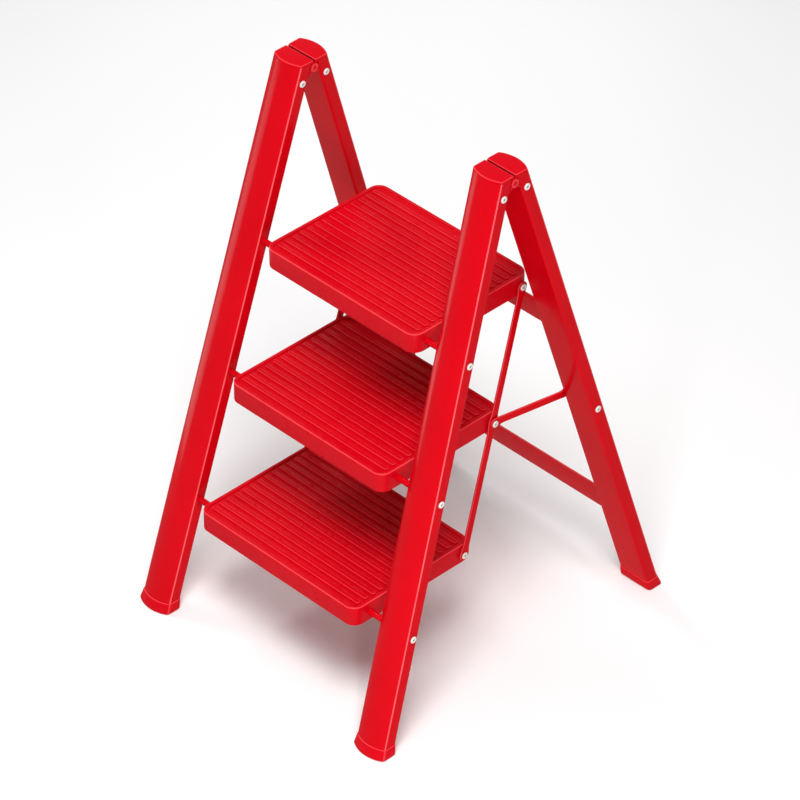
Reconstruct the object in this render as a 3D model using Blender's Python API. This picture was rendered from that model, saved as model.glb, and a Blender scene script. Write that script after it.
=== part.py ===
"""Folding three-tread step ladder: two hinged pairs of D-section legs, ribbed treads and link bars.

Lengths are in metres. X points right, Y to the back and Z up. The floor is Z = 0 and
the hinge axis of the A-frame lies in the plane Y = 0.
"""
import math

import bmesh
import bpy
from mathutils import Vector

# The A-frame
HEIGHT = 0.967
WIDTH = 0.5837
LEAN = math.radians(16.85)
SPLAY = math.radians(1.95)
HINGE_DROP = 0.01465
HINGE_OFFSET = 0.0078

# The leg tube: a flat back, two short sides and a bulging front
LEG_WIDTH = 0.063
LEG_SIDE = 0.0225
LEG_BULGE = 0.0088
LEG_WALL = 0.0016
LEG_CORNER = 0.0032
BULGE_STEPS = 6
CORNER_STEPS = 2

# Clearances between pieces
FIT = 0.0003
BORE_FIT = 0.0003
BAR_FIT = 0.0004

# Caps and their interleaved hinge knuckles
CAP_PLATE = 0.0037
CAP_EDGE = 0.0012
CAP_GAP = 0.0018
CAP_PLUG = 0.050
LUG_INSET = 0.0004
LUG_FOOT = 0.042
LUG_NECK = math.radians(68.0)
KNUCKLE_RADIUS = 0.0076
KNUCKLE_COUNT = 5
KNUCKLE_FIT = 0.0005
KNUCKLE_GAP = 0.0004
PIN_RADIUS = 0.003
PIN_RECESS = 0.0005
PIN_COVER = 0.002

# Feet
FOOT_HEIGHT = 0.018
FOOT_WALL = 0.0012
FOOT_FLARE = 0.0022
FOOT_CHAMFER = 0.0012
FOOT_PLUG = 0.028

# Rivets
RIVET_HEAD = 0.0060
RIVET_RISE = 0.0022
RIVET_RIM = 0.0006
RIVET_CROWN = 0.0043
RIVET_SHOULDER = 0.0019
RIVET_SHANK = 0.0025
RIVET_HOLE = 0.0015
RIVET_HOLE_DEPTH = 0.0016
RIVET_LENGTH = 0.011
CAP_RIVET_DOWN = 0.051
CAP_RIVET_OUT = 0.0112

# Tread pivots and rods
TREAD_NAMES = ("top", "middle", "bottom")
TOP_PIVOT_DOWN = 0.33224
TREAD_PITCH = 0.240
PIVOT_OUT = 0.0102
ROD_RADIUS = 0.0055
ROD_BORE_DEPTH = 0.014

# Treads
SIDE_GAP = 0.0304
SIDE_GAP_GROWTH = 0.0022
FRONT_OVERHANG = (0.0285, 0.037, 0.036)
REAR_REACH = 0.2265
TREAD_RISE = 0.0205
SKIRT_DROP = 0.0155
PLAN_RADIUS = 0.020
PLAN_STEPS = 4
TREAD_EDGE = 0.0035
SKIRT_WALL = 0.003
SKIRT_CHAMFER = 0.0008
RIM_WIDTH = 0.0055
RECESS_DEPTH = 0.002
RECESS_SLOPE = 0.0007
PLATE_THICKNESS = 0.003
WEB_THICKNESS = 0.0024
CELLS_ACROSS = 4
CELLS_DEEP = 3
CELL_RADIUS = 0.003
CELL_DRAFT = 0.0008
SLEEVE_WALL = 0.0030
RIB_PITCH = 0.0165
RIB_WIDTH = 0.0085
RIB_TOP_WIDTH = 0.0070
RIB_DROP = 0.0002
RIB_SUNK = 0.0008
RIB_MARGIN = 0.0225
RIB_END = 0.0165

# Link bars and stays
LINK_REACH = 0.207
LINK_GAP = 0.0013
BAR_THICKNESS = 0.003
BAR_HALF_WIDTH = 0.007
EYE_RADIUS = 0.0095
EYE_BLEND = 0.020
BOSS_RADIUS = 0.0075
BOSS_DEPTH = 0.014
STAY_DOWN = 0.572
STAY_OUT = 0.0112
STAY_FLAT = 0.016
STAY_LEG_GAP = 0.003
STAY_PIN_GAP = 0.0005

# Crossbars of the rear frame
CROSSBAR_DOWN = (0.352, 0.812)
CROSSBAR_NAMES = ("upper", "lower")
CROSSBAR_HEIGHT = 0.057
CROSSBAR_NEAR = 0.0107
CROSSBAR_DEPTH = 0.0024
CROSSBAR_CORNER = 0.0008

# Facets of round pieces
ROUND_STEPS = 12
EDGE_STEPS = 2
KNUCKLE_STEPS = 20
RIVET_STEPS = 8
EYE_STEPS = 6
BLEND_STEPS = 4

# Values that follow from the ones above
FRONT = -1
REAR = 1
LEFT = -1
RIGHT = 1
HINGE_Z = HEIGHT - HINGE_DROP
APEX_Z = HINGE_Z + HINGE_OFFSET / math.sin(LEAN)
BOOT_HALF = LEG_WIDTH / 2 + FOOT_WALL + FOOT_FLARE
BOOT_SHIFT = math.tan(SPLAY) * (APEX_Z + LEG_SIDE * math.sin(LEAN)) / math.cos(LEAN)
APEX_SPREAD = WIDTH / 2 - BOOT_HALF / math.cos(SPLAY) - BOOT_SHIFT
BULGE_RADIUS = ((LEG_WIDTH / 2) ** 2 + LEG_BULGE ** 2) / (2 * LEG_BULGE)
PLATE_BOTTOM = HEIGHT - CAP_PLATE
LEG_TOP = PLATE_BOTTOM - FIT
LEG_BOTTOM = FOOT_HEIGHT + FIT
RECESS_FLOOR = TREAD_RISE - RECESS_DEPTH
PLATE_UNDERSIDE = RECESS_FLOOR - PLATE_THICKNESS


class Leg:
    """Frame of one leg: across points outboard, out away from the flat face, down along the leg."""

    def __init__(self, depth, side):
        self.depth = depth
        self.side = side
        self.origin = Vector((side * APEX_SPREAD, 0.0, APEX_Z))
        self.down = Vector((side * math.tan(SPLAY), depth * math.sin(LEAN), -math.cos(LEAN)))
        self.out = Vector((0.0, depth * math.cos(LEAN), math.sin(LEAN)))
        self.across = (self.out.cross(self.down) * (-side * depth)).normalized()

    def point(self, across, out, down):
        """World point of the leg's own coordinates."""
        return self.origin + self.across * across + self.out * out + self.down * down

    def at_height(self, across, out, height):
        """World point of the lengthwise line through across and out, at a given height."""
        base = self.point(across, out, 0.0)
        return base + self.down * ((height - base.z) / self.down.z)

    def beside(self, across, y, z):
        """World point with the given Y and Z on the lengthwise plane at across."""
        base = self.point(across, 0.0, 0.0)
        det = self.out.y * self.down.z - self.out.z * self.down.y
        out = ((y - base.y) * self.down.z - (z - base.z) * self.down.y) / det
        down = (self.out.y * (z - base.z) - self.out.z * (y - base.y)) / det
        spot = self.point(across, out, down)
        return Vector((spot.x, y, z))


def rounded(corners, radii, steps):
    """Outline whose corners are replaced by arcs of the given radii."""
    points = []
    count = len(corners)
    for index in range(count):
        corner = Vector(corners[index])
        if radii[index] <= 0.0:
            points.append(corner)
            continue
        before = (Vector(corners[index - 1]) - corner).normalized()
        after = (Vector(corners[(index + 1) % count]) - corner).normalized()
        half = before.angle(after) / 2
        centre = corner + (before + after).normalized() * (radii[index] / math.sin(half))
        start = corner + before * (radii[index] / math.tan(half)) - centre
        end = corner + after * (radii[index] / math.tan(half)) - centre
        sweep = math.pi - 2 * half
        for step in range(steps + 1):
            part = sweep * step / steps
            spot = start * math.sin(sweep - part) + end * math.sin(part)
            points.append(centre + spot / math.sin(sweep))
    return points


def bulge_arc(inset):
    """Points of the bulging front, moved inwards by inset, from the outboard side to the inboard."""
    half = LEG_WIDTH / 2 - inset
    radius = BULGE_RADIUS - inset
    centre = LEG_SIDE + LEG_BULGE - BULGE_RADIUS
    reach = math.asin(half / radius)
    points = []
    for step in range(BULGE_STEPS + 1):
        angle = reach - 2 * reach * step / BULGE_STEPS
        points.append((radius * math.sin(angle), centre + radius * math.cos(angle)))
    return points


def d_radii(inset):
    """Corner radii of the D outline at an inset."""
    corner = max(LEG_CORNER - inset, LEG_CORNER / 4)
    return [corner, corner, corner] + [0.0] * (BULGE_STEPS - 1) + [corner]


def tube_ring(leg, height, inset):
    """D outline of a leg at a height, as world points."""
    half = LEG_WIDTH / 2 - inset
    corners = [(-half, inset), (half, inset)] + bulge_arc(inset)
    outline = rounded(corners, d_radii(inset), CORNER_STEPS)
    return [leg.at_height(across, out, height) for across, out in outline]


def cap_ring(leg, height, inset):
    """D outline of a leg at a height whose flat side is moved out to the gap between the caps."""
    half = LEG_WIDTH / 2 - inset
    corners = [(-half, CAP_GAP + inset), (half, CAP_GAP + inset)]
    for across, out in bulge_arc(inset):
        corners.append((across, leg.depth * leg.at_height(across, out, height).y))
    outline = rounded(corners, d_radii(inset), CORNER_STEPS)
    return [leg.beside(across, leg.depth * away, height) for across, away in outline]


def loft(bm, rings, looped=False):
    """Skin over rings of equal length: closed by end faces, or joined last to first."""
    rows = [[bm.verts.new(point) for point in ring] for ring in rings]
    pairs = list(zip(rows, rows[1:]))
    if looped:
        pairs.append((rows[-1], rows[0]))
    else:
        bm.faces.new(rows[0])
        bm.faces.new(rows[-1])
    for lower, upper in pairs:
        for index in range(len(lower)):
            after = (index + 1) % len(lower)
            bm.faces.new((lower[index], lower[after], upper[after], upper[index]))


def turned(bm, start, direction, profile, steps):
    """Body of revolution: profile holds pairs of distance along the axis and radius."""
    axis = direction.normalized()
    first = axis.orthogonal().normalized()
    second = axis.cross(first)
    rings = []
    for along, radius in profile:
        ring = []
        for step in range(steps):
            angle = 2 * math.pi * (step + 0.5) / steps
            spoke = first * math.cos(angle) + second * math.sin(angle)
            ring.append(start + axis * along + spoke * radius)
        rings.append(ring)
    loft(bm, rings)


def rod(bm, start, end, radius, steps=ROUND_STEPS):
    """Plain round bar between two points."""
    span = end - start
    turned(bm, start, span, ((0.0, radius), (span.length, radius)), steps)


def rivet(bm, seat, direction, length):
    """Blind rivet: domed head with its open middle on the seat, shank running along direction."""
    profile = (
        (RIVET_HOLE_DEPTH - RIVET_RISE, RIVET_HOLE),
        (-RIVET_RISE, RIVET_HOLE),
        (-RIVET_SHOULDER, RIVET_CROWN),
        (-RIVET_RIM, RIVET_HEAD),
        (0.0, RIVET_HEAD),
        (0.0, RIVET_SHANK),
        (length, RIVET_SHANK),
    )
    turned(bm, seat, direction, profile, RIVET_STEPS)


def material(name, colour, roughness, metallic, coat):
    """Principled material of one piece."""
    made = bpy.data.materials.new(name)
    made.use_nodes = True
    shader = made.node_tree.nodes["Principled BSDF"]
    shader.inputs["Base Color"].default_value = (*colour, 1.0)
    shader.inputs["Roughness"].default_value = roughness
    shader.inputs["Metallic"].default_value = metallic
    shader.inputs["Coat Weight"].default_value = coat
    made.diffuse_color = (*colour, 1.0)
    return made


def red_lacquer(name):
    """Glossy red coating of the steel tubes and bars."""
    return material(name + "_lacquer", (0.66, 0.003, 0.012), 0.22, 0.0, 0.5)


def red_plastic(name):
    """Moulded red plastic of treads, caps and feet."""
    return material(name + "_plastic", (0.58, 0.003, 0.011), 0.32, 0.0, 0.2)


def white_rivet(name):
    """White lacquered rivet."""
    return material(name + "_white", (0.86, 0.85, 0.82), 0.35, 0.0, 0.2)


def steel(name):
    """Bare steel of hidden pins."""
    return material(name + "_steel", (0.55, 0.55, 0.55), 0.35, 1.0, 0.0)


def as_object(name, bm, origin, parent):
    """Object of a bmesh given in world points, with its own origin."""
    bmesh.ops.recalc_face_normals(bm, faces=bm.faces)
    bmesh.ops.translate(bm, vec=-origin, verts=bm.verts)
    mesh = bpy.data.meshes.new(name)
    bm.to_mesh(mesh)
    bm.free()
    mesh.shade_smooth()
    mesh.set_sharp_from_angle(angle=math.radians(32.0))
    made = bpy.data.objects.new(name, mesh)
    bpy.context.scene.collection.objects.link(made)
    made.parent = parent
    made.location = origin - (parent.location if parent else Vector())
    return made


def piece(name, bm, origin, parent, finish):
    """Visible sub-part with its material."""
    made = as_object(name, bm, origin, parent)
    made.data.materials.append(finish(name))
    return made


def tool(name, bm):
    """Hidden body that cuts or is added to a piece."""
    made = as_object(name, bm, Vector(), None)
    made.hide_render = True
    made.display_type = "WIRE"
    return made


def combine(target, other, operation):
    """Boolean of a piece with a hidden body."""
    modifier = target.modifiers.new(other.name, "BOOLEAN")
    modifier.operation = operation
    modifier.solver = "EXACT"
    modifier.object = other


def axis_empty(name, origin, parent=None):
    """Empty that marks a joint axis."""
    made = bpy.data.objects.new(name, None)
    bpy.context.scene.collection.objects.link(made)
    made.parent = parent
    made.location = origin - (parent.location if parent else Vector())
    return made


def pivot_point(index):
    """Y and Z of a tread pivot on the front legs."""
    spot = Leg(FRONT, RIGHT).point(0.0, PIVOT_OUT, TOP_PIVOT_DOWN + index * TREAD_PITCH)
    return Vector((0.0, spot.y, spot.z))


def link_point(index):
    """Y and Z of a link rivet at the rear of a tread."""
    return pivot_point(index) + Vector((0.0, LINK_REACH, 0.0))


def tread_half_width(index):
    """Half width of a tread, from the gap to the legs' inner faces."""
    spot = pivot_point(index)
    inner = Leg(FRONT, RIGHT).beside(-LEG_WIDTH / 2, spot.y, spot.z).x
    return inner - SIDE_GAP - SIDE_GAP_GROWTH * index


def stay_point():
    """Y and Z of the stay's rear eye."""
    spot = Leg(REAR, RIGHT).point(0.0, STAY_OUT, STAY_DOWN)
    return Vector((0.0, spot.y, spot.z))


def stay_outer_x():
    """Outboard face of the stay's rear eye, just inside the rear leg."""
    spot = stay_point()
    return Leg(REAR, RIGHT).beside(-LEG_WIDTH / 2, spot.y, spot.z).x - STAY_LEG_GAP


def leg_tube(name, leg, parent, bores):
    """D tube, cut level at the cap and at the foot, with its bores."""
    bm = bmesh.new()
    rings = [
        tube_ring(leg, LEG_TOP, 0.0),
        tube_ring(leg, LEG_BOTTOM, 0.0),
        tube_ring(leg, LEG_BOTTOM, LEG_WALL),
        tube_ring(leg, LEG_TOP, LEG_WALL),
    ]
    loft(bm, rings, looped=True)
    made = piece(name, bm, leg.at_height(0.0, 0.0, LEG_TOP), parent, red_lacquer)
    for bore in bores:
        combine(made, bore, "DIFFERENCE")


def foot(name, leg, parent):
    """Boot that flares towards the floor, with a plug inside the tube."""
    bm = bmesh.new()
    plug_inset = LEG_WALL + FIT
    flared = -FOOT_WALL - FOOT_FLARE
    rings = [
        tube_ring(leg, 0.0, flared + FOOT_CHAMFER),
        tube_ring(leg, FOOT_CHAMFER, flared),
        tube_ring(leg, FOOT_HEIGHT, -FOOT_WALL),
        tube_ring(leg, FOOT_HEIGHT, plug_inset),
        tube_ring(leg, FOOT_HEIGHT + FOOT_PLUG, plug_inset),
        tube_ring(leg, FOOT_HEIGHT + FOOT_PLUG + FOOT_CHAMFER, plug_inset + FOOT_CHAMFER),
    ]
    loft(bm, rings)
    piece(name, bm, leg.at_height(0.0, 0.0, FOOT_HEIGHT), parent, red_plastic)


def lug_outline():
    """Side outline of the hinge lug, as pairs of distance from the hinge plane and height."""
    leg = Leg(REAR, RIGHT)
    outline = [Vector((CAP_GAP, HEIGHT - CAP_PLATE / 2))]
    start = math.acos(CAP_GAP / KNUCKLE_RADIUS)
    sweep = 2 * math.pi - LUG_NECK - start
    for step in range(ROUND_STEPS + 1):
        angle = start + sweep * step / ROUND_STEPS
        spoke = Vector((math.cos(angle), math.sin(angle))) * KNUCKLE_RADIUS
        outline.append(Vector((0.0, HINGE_Z)) + spoke)
    low = leg.point(0.0, -FIT, LUG_FOOT)
    high = leg.at_height(0.0, -FIT, HEIGHT - CAP_PLATE / 2)
    outline.append(Vector((low.y, low.z)))
    outline.append(Vector((high.y, high.z)))
    return outline


def knuckle_edges(leg):
    """X of the ends of the knuckles, from the inboard to the outboard side."""
    inner = leg.beside(-LEG_WIDTH / 2, 0.0, HINGE_Z).x
    outer = leg.beside(LEG_WIDTH / 2, 0.0, HINGE_Z).x
    return [inner + (outer - inner) * step / KNUCKLE_COUNT for step in range(KNUCKLE_COUNT + 1)]


def knuckle_room(leg, name):
    """Hidden body that clears the other cap's knuckles, with a margin at the open sides."""
    bm = bmesh.new()
    edges = knuckle_edges(leg)
    taken = 1 if leg.depth == FRONT else 0
    for index in range(taken, KNUCKLE_COUNT, 2):
        margin_in = KNUCKLE_GAP / 2 if index > 0 else KNUCKLE_RADIUS
        margin_out = KNUCKLE_GAP / 2 if index < KNUCKLE_COUNT - 1 else KNUCKLE_RADIUS
        start = Vector((edges[index] - leg.side * margin_in, 0.0, HINGE_Z))
        end = Vector((edges[index + 1] + leg.side * margin_out, 0.0, HINGE_Z))
        rod(bm, start, end, KNUCKLE_RADIUS + KNUCKLE_FIT, KNUCKLE_STEPS)
    return tool(name, bm)


def cap(name, leg, parent, bores):
    """Cap plate with its plug in the tube and the lug that carries the hinge knuckles."""
    bm = bmesh.new()
    plug_inset = LEG_WALL + FIT
    rings = [
        cap_ring(leg, HEIGHT, CAP_EDGE),
        cap_ring(leg, HEIGHT - CAP_EDGE, 0.0),
        cap_ring(leg, PLATE_BOTTOM, 0.0),
        tube_ring(leg, PLATE_BOTTOM, plug_inset),
        tube_ring(leg, PLATE_BOTTOM - CAP_PLUG, plug_inset),
        tube_ring(leg, PLATE_BOTTOM - CAP_PLUG - CAP_EDGE, plug_inset + CAP_EDGE),
    ]
    loft(bm, rings)
    made = piece(name, bm, Vector((leg.origin.x, 0.0, HINGE_Z)), parent, red_plastic)
    lug = bmesh.new()
    half = LEG_WIDTH / 2 - LUG_INSET
    outline = lug_outline()
    sides = []
    for across in (-half, half):
        sides.append([leg.beside(across, leg.depth * away, height) for away, height in outline])
    loft(lug, sides)
    combine(made, tool(name + "_lug", lug), "UNION")
    combine(made, knuckle_room(leg, name + "_knuckle_room"), "DIFFERENCE")
    for bore in bores:
        combine(made, bore, "DIFFERENCE")


def hinge_pin(name, side, parent):
    """Steel pin through the knuckles of one side."""
    bm = bmesh.new()
    edges = knuckle_edges(Leg(FRONT, side))
    start = Vector((edges[0] + side * PIN_RECESS, 0.0, HINGE_Z))
    end = Vector((edges[-1] - side * (PIN_COVER + FIT), 0.0, HINGE_Z))
    rod(bm, start, end, PIN_RADIUS)
    piece(name, bm, start, parent, steel)


def hinge_bore(name, side):
    """Hidden bore of the hinge pin, which the outboard knuckle closes."""
    bm = bmesh.new()
    edges = knuckle_edges(Leg(FRONT, side))
    start = Vector((edges[0] - side * KNUCKLE_RADIUS, 0.0, HINGE_Z))
    end = Vector((edges[-1] - side * PIN_COVER, 0.0, HINGE_Z))
    rod(bm, start, end, PIN_RADIUS + BORE_FIT)
    return tool(name, bm)


def cap_rivet_bore(name, leg):
    """Hidden bore of the two cap rivets of a leg, through tube and plug."""
    bm = bmesh.new()
    reach = LEG_WIDTH / 2 + RIVET_HEAD
    start = leg.point(-reach, CAP_RIVET_OUT, CAP_RIVET_DOWN)
    end = leg.point(reach, CAP_RIVET_OUT, CAP_RIVET_DOWN)
    rod(bm, start, end, RIVET_SHANK + BORE_FIT, RIVET_STEPS)
    return tool(name, bm)


def rivet_piece(name, seat, direction, length, parent):
    """One rivet as a piece of its own."""
    bm = bmesh.new()
    rivet(bm, seat, direction, length)
    piece(name, bm, seat, parent, white_rivet)


def cap_rivets(name, leg, parent):
    """Rivets that hold a cap, one on each side of its leg."""
    for way, word in ((-1, "_inner"), (1, "_outer")):
        seat = leg.point(way * (LEG_WIDTH / 2 + FIT), CAP_RIVET_OUT, CAP_RIVET_DOWN)
        rivet_piece(name + word, seat, leg.across * -way, RIVET_LENGTH, parent)


def pin_end_x(leg, spot):
    """X where a pin or rod stops inside a leg, just short of the outboard wall."""
    wall = leg.beside(LEG_WIDTH / 2 - LEG_WALL, spot.y, spot.z).x
    return wall - leg.side * (FIT + ROD_RADIUS * math.tan(SPLAY))


def rivet_seat(leg, spot):
    """Seat of a rivet head on the outboard side of a leg."""
    face = leg.beside(LEG_WIDTH / 2, spot.y, spot.z).x
    return Vector((face + leg.side * (FIT + RIVET_HEAD * math.tan(SPLAY)), spot.y, spot.z))


def side_bores(name, leg, spots):
    """Hidden bores of rods through the inboard wall and of rivets through the outboard wall."""
    bm = bmesh.new()
    for spot in spots:
        middle = leg.beside(0.0, spot.y, spot.z)
        inboard = middle - Vector((leg.side * LEG_WIDTH, 0.0, 0.0))
        outboard = middle + Vector((leg.side * LEG_WIDTH, 0.0, 0.0))
        hollow = middle + Vector((leg.side * ROD_RADIUS, 0.0, 0.0))
        rod(bm, inboard, middle, ROD_RADIUS + BORE_FIT)
        rod(bm, hollow, outboard, RIVET_SHANK + BORE_FIT, RIVET_STEPS)
    return tool(name, bm)


def rod_end_bore(name, leg, spot):
    """Hidden blind bore for the rivet in the end of a rod."""
    bm = bmesh.new()
    end = pin_end_x(leg, spot)
    start = Vector((end - leg.side * ROD_BORE_DEPTH, spot.y, spot.z))
    stop = Vector((end + leg.side * ROD_BORE_DEPTH, spot.y, spot.z))
    rod(bm, start, stop, RIVET_SHANK + BORE_FIT, RIVET_STEPS)
    return tool(name, bm)


def pivot_rod(index, parent):
    """Round rod from leg to leg that carries one tread."""
    bm = bmesh.new()
    spot = pivot_point(index)
    name = "pivot_rod_" + TREAD_NAMES[index]
    start = Vector((pin_end_x(Leg(FRONT, LEFT), spot), spot.y, spot.z))
    end = Vector((pin_end_x(Leg(FRONT, RIGHT), spot), spot.y, spot.z))
    rod(bm, start, end, ROD_RADIUS)
    made = piece(name, bm, spot, parent, red_lacquer)
    for side, word in ((LEFT, "_left"), (RIGHT, "_right")):
        combine(made, rod_end_bore(name + word + "_bore", Leg(FRONT, side), spot), "DIFFERENCE")


def side_rivet(name, leg, spot, parent):
    """Rivet on the outboard side of a leg, into the end of a rod or pin."""
    inwards = Vector((-leg.side, 0.0, 0.0))
    rivet_piece(name, rivet_seat(leg, spot), inwards, RIVET_LENGTH, parent)


def tread_ring(index, inset, height):
    """Plan outline of a tread at an inset and a height above its pivot."""
    half = tread_half_width(index) - inset
    front = -FRONT_OVERHANG[index] + inset
    back = REAR_REACH - inset
    corners = [(-half, front), (half, front), (half, back), (-half, back)]
    outline = rounded(corners, [max(PLAN_RADIUS - inset, PLAN_RADIUS / 4)] * 4, PLAN_STEPS)
    centre = pivot_point(index)
    return [centre + Vector((across, along, height)) for across, along in outline]


def tread_cells(index, name):
    """Hidden bodies of the hollow cells between the webs under a tread."""
    bm = bmesh.new()
    half = tread_half_width(index) - SKIRT_WALL
    front = -FRONT_OVERHANG[index] + SKIRT_WALL
    back = REAR_REACH - SKIRT_WALL
    wide = (2 * half - WEB_THICKNESS * (CELLS_ACROSS - 1)) / CELLS_ACROSS
    deep = (back - front - WEB_THICKNESS * (CELLS_DEEP - 1)) / CELLS_DEEP
    outer = PLAN_RADIUS - SKIRT_WALL
    centre = pivot_point(index)
    for column in range(CELLS_ACROSS):
        for row in range(CELLS_DEEP):
            x0 = -half + column * (wide + WEB_THICKNESS)
            y0 = front + row * (deep + WEB_THICKNESS)
            ends = (column == 0, column == CELLS_ACROSS - 1)
            rows = (row == 0, row == CELLS_DEEP - 1)
            radii = [
                outer if ends[0] and rows[0] else CELL_RADIUS,
                outer if ends[1] and rows[0] else CELL_RADIUS,
                outer if ends[1] and rows[1] else CELL_RADIUS,
                outer if ends[0] and rows[1] else CELL_RADIUS,
            ]
            rings = []
            for inset, height in ((0.0, -SKIRT_DROP - SKIRT_WALL), (CELL_DRAFT, PLATE_UNDERSIDE)):
                corners = [
                    (x0 + inset, y0 + inset),
                    (x0 + wide - inset, y0 + inset),
                    (x0 + wide - inset, y0 + deep - inset),
                    (x0 + inset, y0 + deep - inset),
                ]
                outline = rounded(corners, radii, CORNER_STEPS)
                rings.append([centre + Vector((across, along, height)) for across, along in outline])
            loft(bm, rings)
    return tool(name, bm)


def tread_bosses(index, name):
    """Hidden bodies of the rod sleeve and of the link rivet bosses, which end in raised pads."""
    bm = bmesh.new()
    centre = pivot_point(index)
    half = tread_half_width(index)
    inner = half - SKIRT_WALL / 2
    radius = ROD_RADIUS + BORE_FIT + SLEEVE_WALL
    rod(bm, centre - Vector((inner, 0.0, 0.0)), centre + Vector((inner, 0.0, 0.0)), radius)
    spot = link_point(index)
    for side in (LEFT, RIGHT):
        start = spot + Vector((side * (half - BOSS_DEPTH), 0.0, 0.0))
        end = spot + Vector((side * (half + LINK_GAP - BAR_FIT), 0.0, 0.0))
        rod(bm, start, end, BOSS_RADIUS)
    return tool(name, bm)


def tread_bores(index, name):
    """Hidden bores of the rod and of the link rivets in a tread."""
    bm = bmesh.new()
    centre = pivot_point(index)
    half = tread_half_width(index)
    reach = half + SKIRT_WALL
    bore = ROD_RADIUS + BORE_FIT
    rod(bm, centre - Vector((reach, 0.0, 0.0)), centre + Vector((reach, 0.0, 0.0)), bore)
    spot = link_point(index)
    for side in (LEFT, RIGHT):
        start = spot + Vector((side * (half - BOSS_DEPTH - SKIRT_WALL), 0.0, 0.0))
        end = spot + Vector((side * reach, 0.0, 0.0))
        rod(bm, start, end, RIVET_SHANK + BORE_FIT, RIVET_STEPS)
    return tool(name, bm)


def rib_ring(centre, half, radius, height):
    """Stadium outline of a rib."""
    points = []
    for end in (1, -1):
        for step in range(CORNER_STEPS + 2):
            angle = math.pi * (step / (CORNER_STEPS + 1) - 0.5)
            across = end * (half - radius + radius * math.cos(angle))
            points.append(centre + Vector((across, end * radius * math.sin(angle), height)))
    return points


def tread_ribs(index, name):
    """Hidden bodies of the ribs that stand in the recess of a tread."""
    bm = bmesh.new()
    centre = pivot_point(index)
    half = tread_half_width(index) - RIB_END
    first = -FRONT_OVERHANG[index] + RIB_MARGIN
    room = REAR_REACH - RIB_MARGIN - first
    gaps = round(room / RIB_PITCH)
    slope = (RIB_WIDTH - RIB_TOP_WIDTH) / 2
    for number in range(gaps + 1):
        middle = centre + Vector((0.0, first + room * number / gaps, 0.0))
        rings = [
            rib_ring(middle, half, RIB_WIDTH / 2, RECESS_FLOOR - RIB_SUNK),
            rib_ring(middle, half - slope, RIB_TOP_WIDTH / 2, TREAD_RISE - RIB_DROP),
        ]
        loft(bm, rings)
    return tool(name, bm)


def tread(index, parent):
    """Moulded step pan: rounded skirt, rim and recess, ribs on top, webs and bosses below."""
    bm = bmesh.new()
    name = "step_" + TREAD_NAMES[index]
    rings = [
        tread_ring(index, SKIRT_CHAMFER, -SKIRT_DROP),
        tread_ring(index, 0.0, -SKIRT_DROP + SKIRT_CHAMFER),
    ]
    for step in range(EDGE_STEPS + 1):
        angle = math.pi / 2 * step / EDGE_STEPS
        inset = TREAD_EDGE * (1 - math.cos(angle))
        rings.append(tread_ring(index, inset, TREAD_RISE - TREAD_EDGE * (1 - math.sin(angle))))
    rings.append(tread_ring(index, RIM_WIDTH, TREAD_RISE))
    rings.append(tread_ring(index, RIM_WIDTH + RECESS_SLOPE, RECESS_FLOOR))
    loft(bm, rings)
    made = piece(name, bm, pivot_point(index), parent, red_plastic)
    combine(made, tread_cells(index, name + "_cells"), "DIFFERENCE")
    combine(made, tread_bosses(index, name + "_bosses"), "UNION")
    combine(made, tread_bores(index, name + "_bores"), "DIFFERENCE")
    combine(made, tread_ribs(index, name + "_ribs"), "UNION")


def blended_half(offset):
    """Half width of a flat bar at a distance from the middle of an eye."""
    blend = (1 + math.cos(math.pi * offset / EYE_BLEND)) / 2
    return BAR_HALF_WIDTH + (EYE_RADIUS - BAR_HALF_WIDTH) * blend


def eye_stations(centres):
    """Distances along a flat bar and its half widths, with round eyes at the given centres."""
    stations = []
    for step in range(1, EYE_STEPS):
        angle = math.pi / 2 * step / EYE_STEPS
        reach = EYE_RADIUS * math.cos(angle)
        half = EYE_RADIUS * math.sin(angle)
        stations += [(centres[0] - reach, half), (centres[-1] + reach, half)]
    for centre in centres:
        for step in range(-BLEND_STEPS, BLEND_STEPS + 1):
            offset = EYE_BLEND * step / BLEND_STEPS
            if centres[0] <= centre + offset <= centres[-1]:
                stations.append((centre + offset, blended_half(offset)))
    return sorted(stations)


def flat_bar(bm, start, along, stations, shift):
    """Flat bar through stations: shift gives the X of its middle plane at each distance."""
    wide = Vector((0.0, -along.z, along.y))
    rings = []
    for distance, half in stations:
        middle = start + Vector((0.0, along.y, along.z)) * distance
        middle.x = shift(distance)
        ring = []
        for way, face in ((-1, -1), (1, -1), (1, 1), (-1, 1)):
            ring.append(middle + wide * (way * half) + Vector((face * BAR_THICKNESS / 2, 0.0, 0.0)))
        rings.append(ring)
    loft(bm, rings)


def bar_x(index):
    """X of the link bar's middle plane beside a tread."""
    return tread_half_width(index) + LINK_GAP + BAR_THICKNESS / 2


def bar_tilt():
    """Rise in X of the link bar over its length, because the lower treads are wider."""
    return (bar_x(1) - bar_x(0)) / TREAD_PITCH


def stay_x():
    """X of the stay's middle plane, clear of the tilted link bar along its flat end."""
    return bar_x(1) + BAR_THICKNESS + BAR_FIT + bar_tilt() * STAY_FLAT


def rivet_bores(name, side, spots, centre_x):
    """Hidden rivet bores through a flat bar."""
    bm = bmesh.new()
    for spot, x in zip(spots, centre_x):
        start = Vector((side * (x - BAR_THICKNESS), spot.y, spot.z))
        end = Vector((side * (x + BAR_THICKNESS), spot.y, spot.z))
        rod(bm, start, end, RIVET_SHANK + BORE_FIT, RIVET_STEPS)
    return tool(name, bm)


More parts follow.
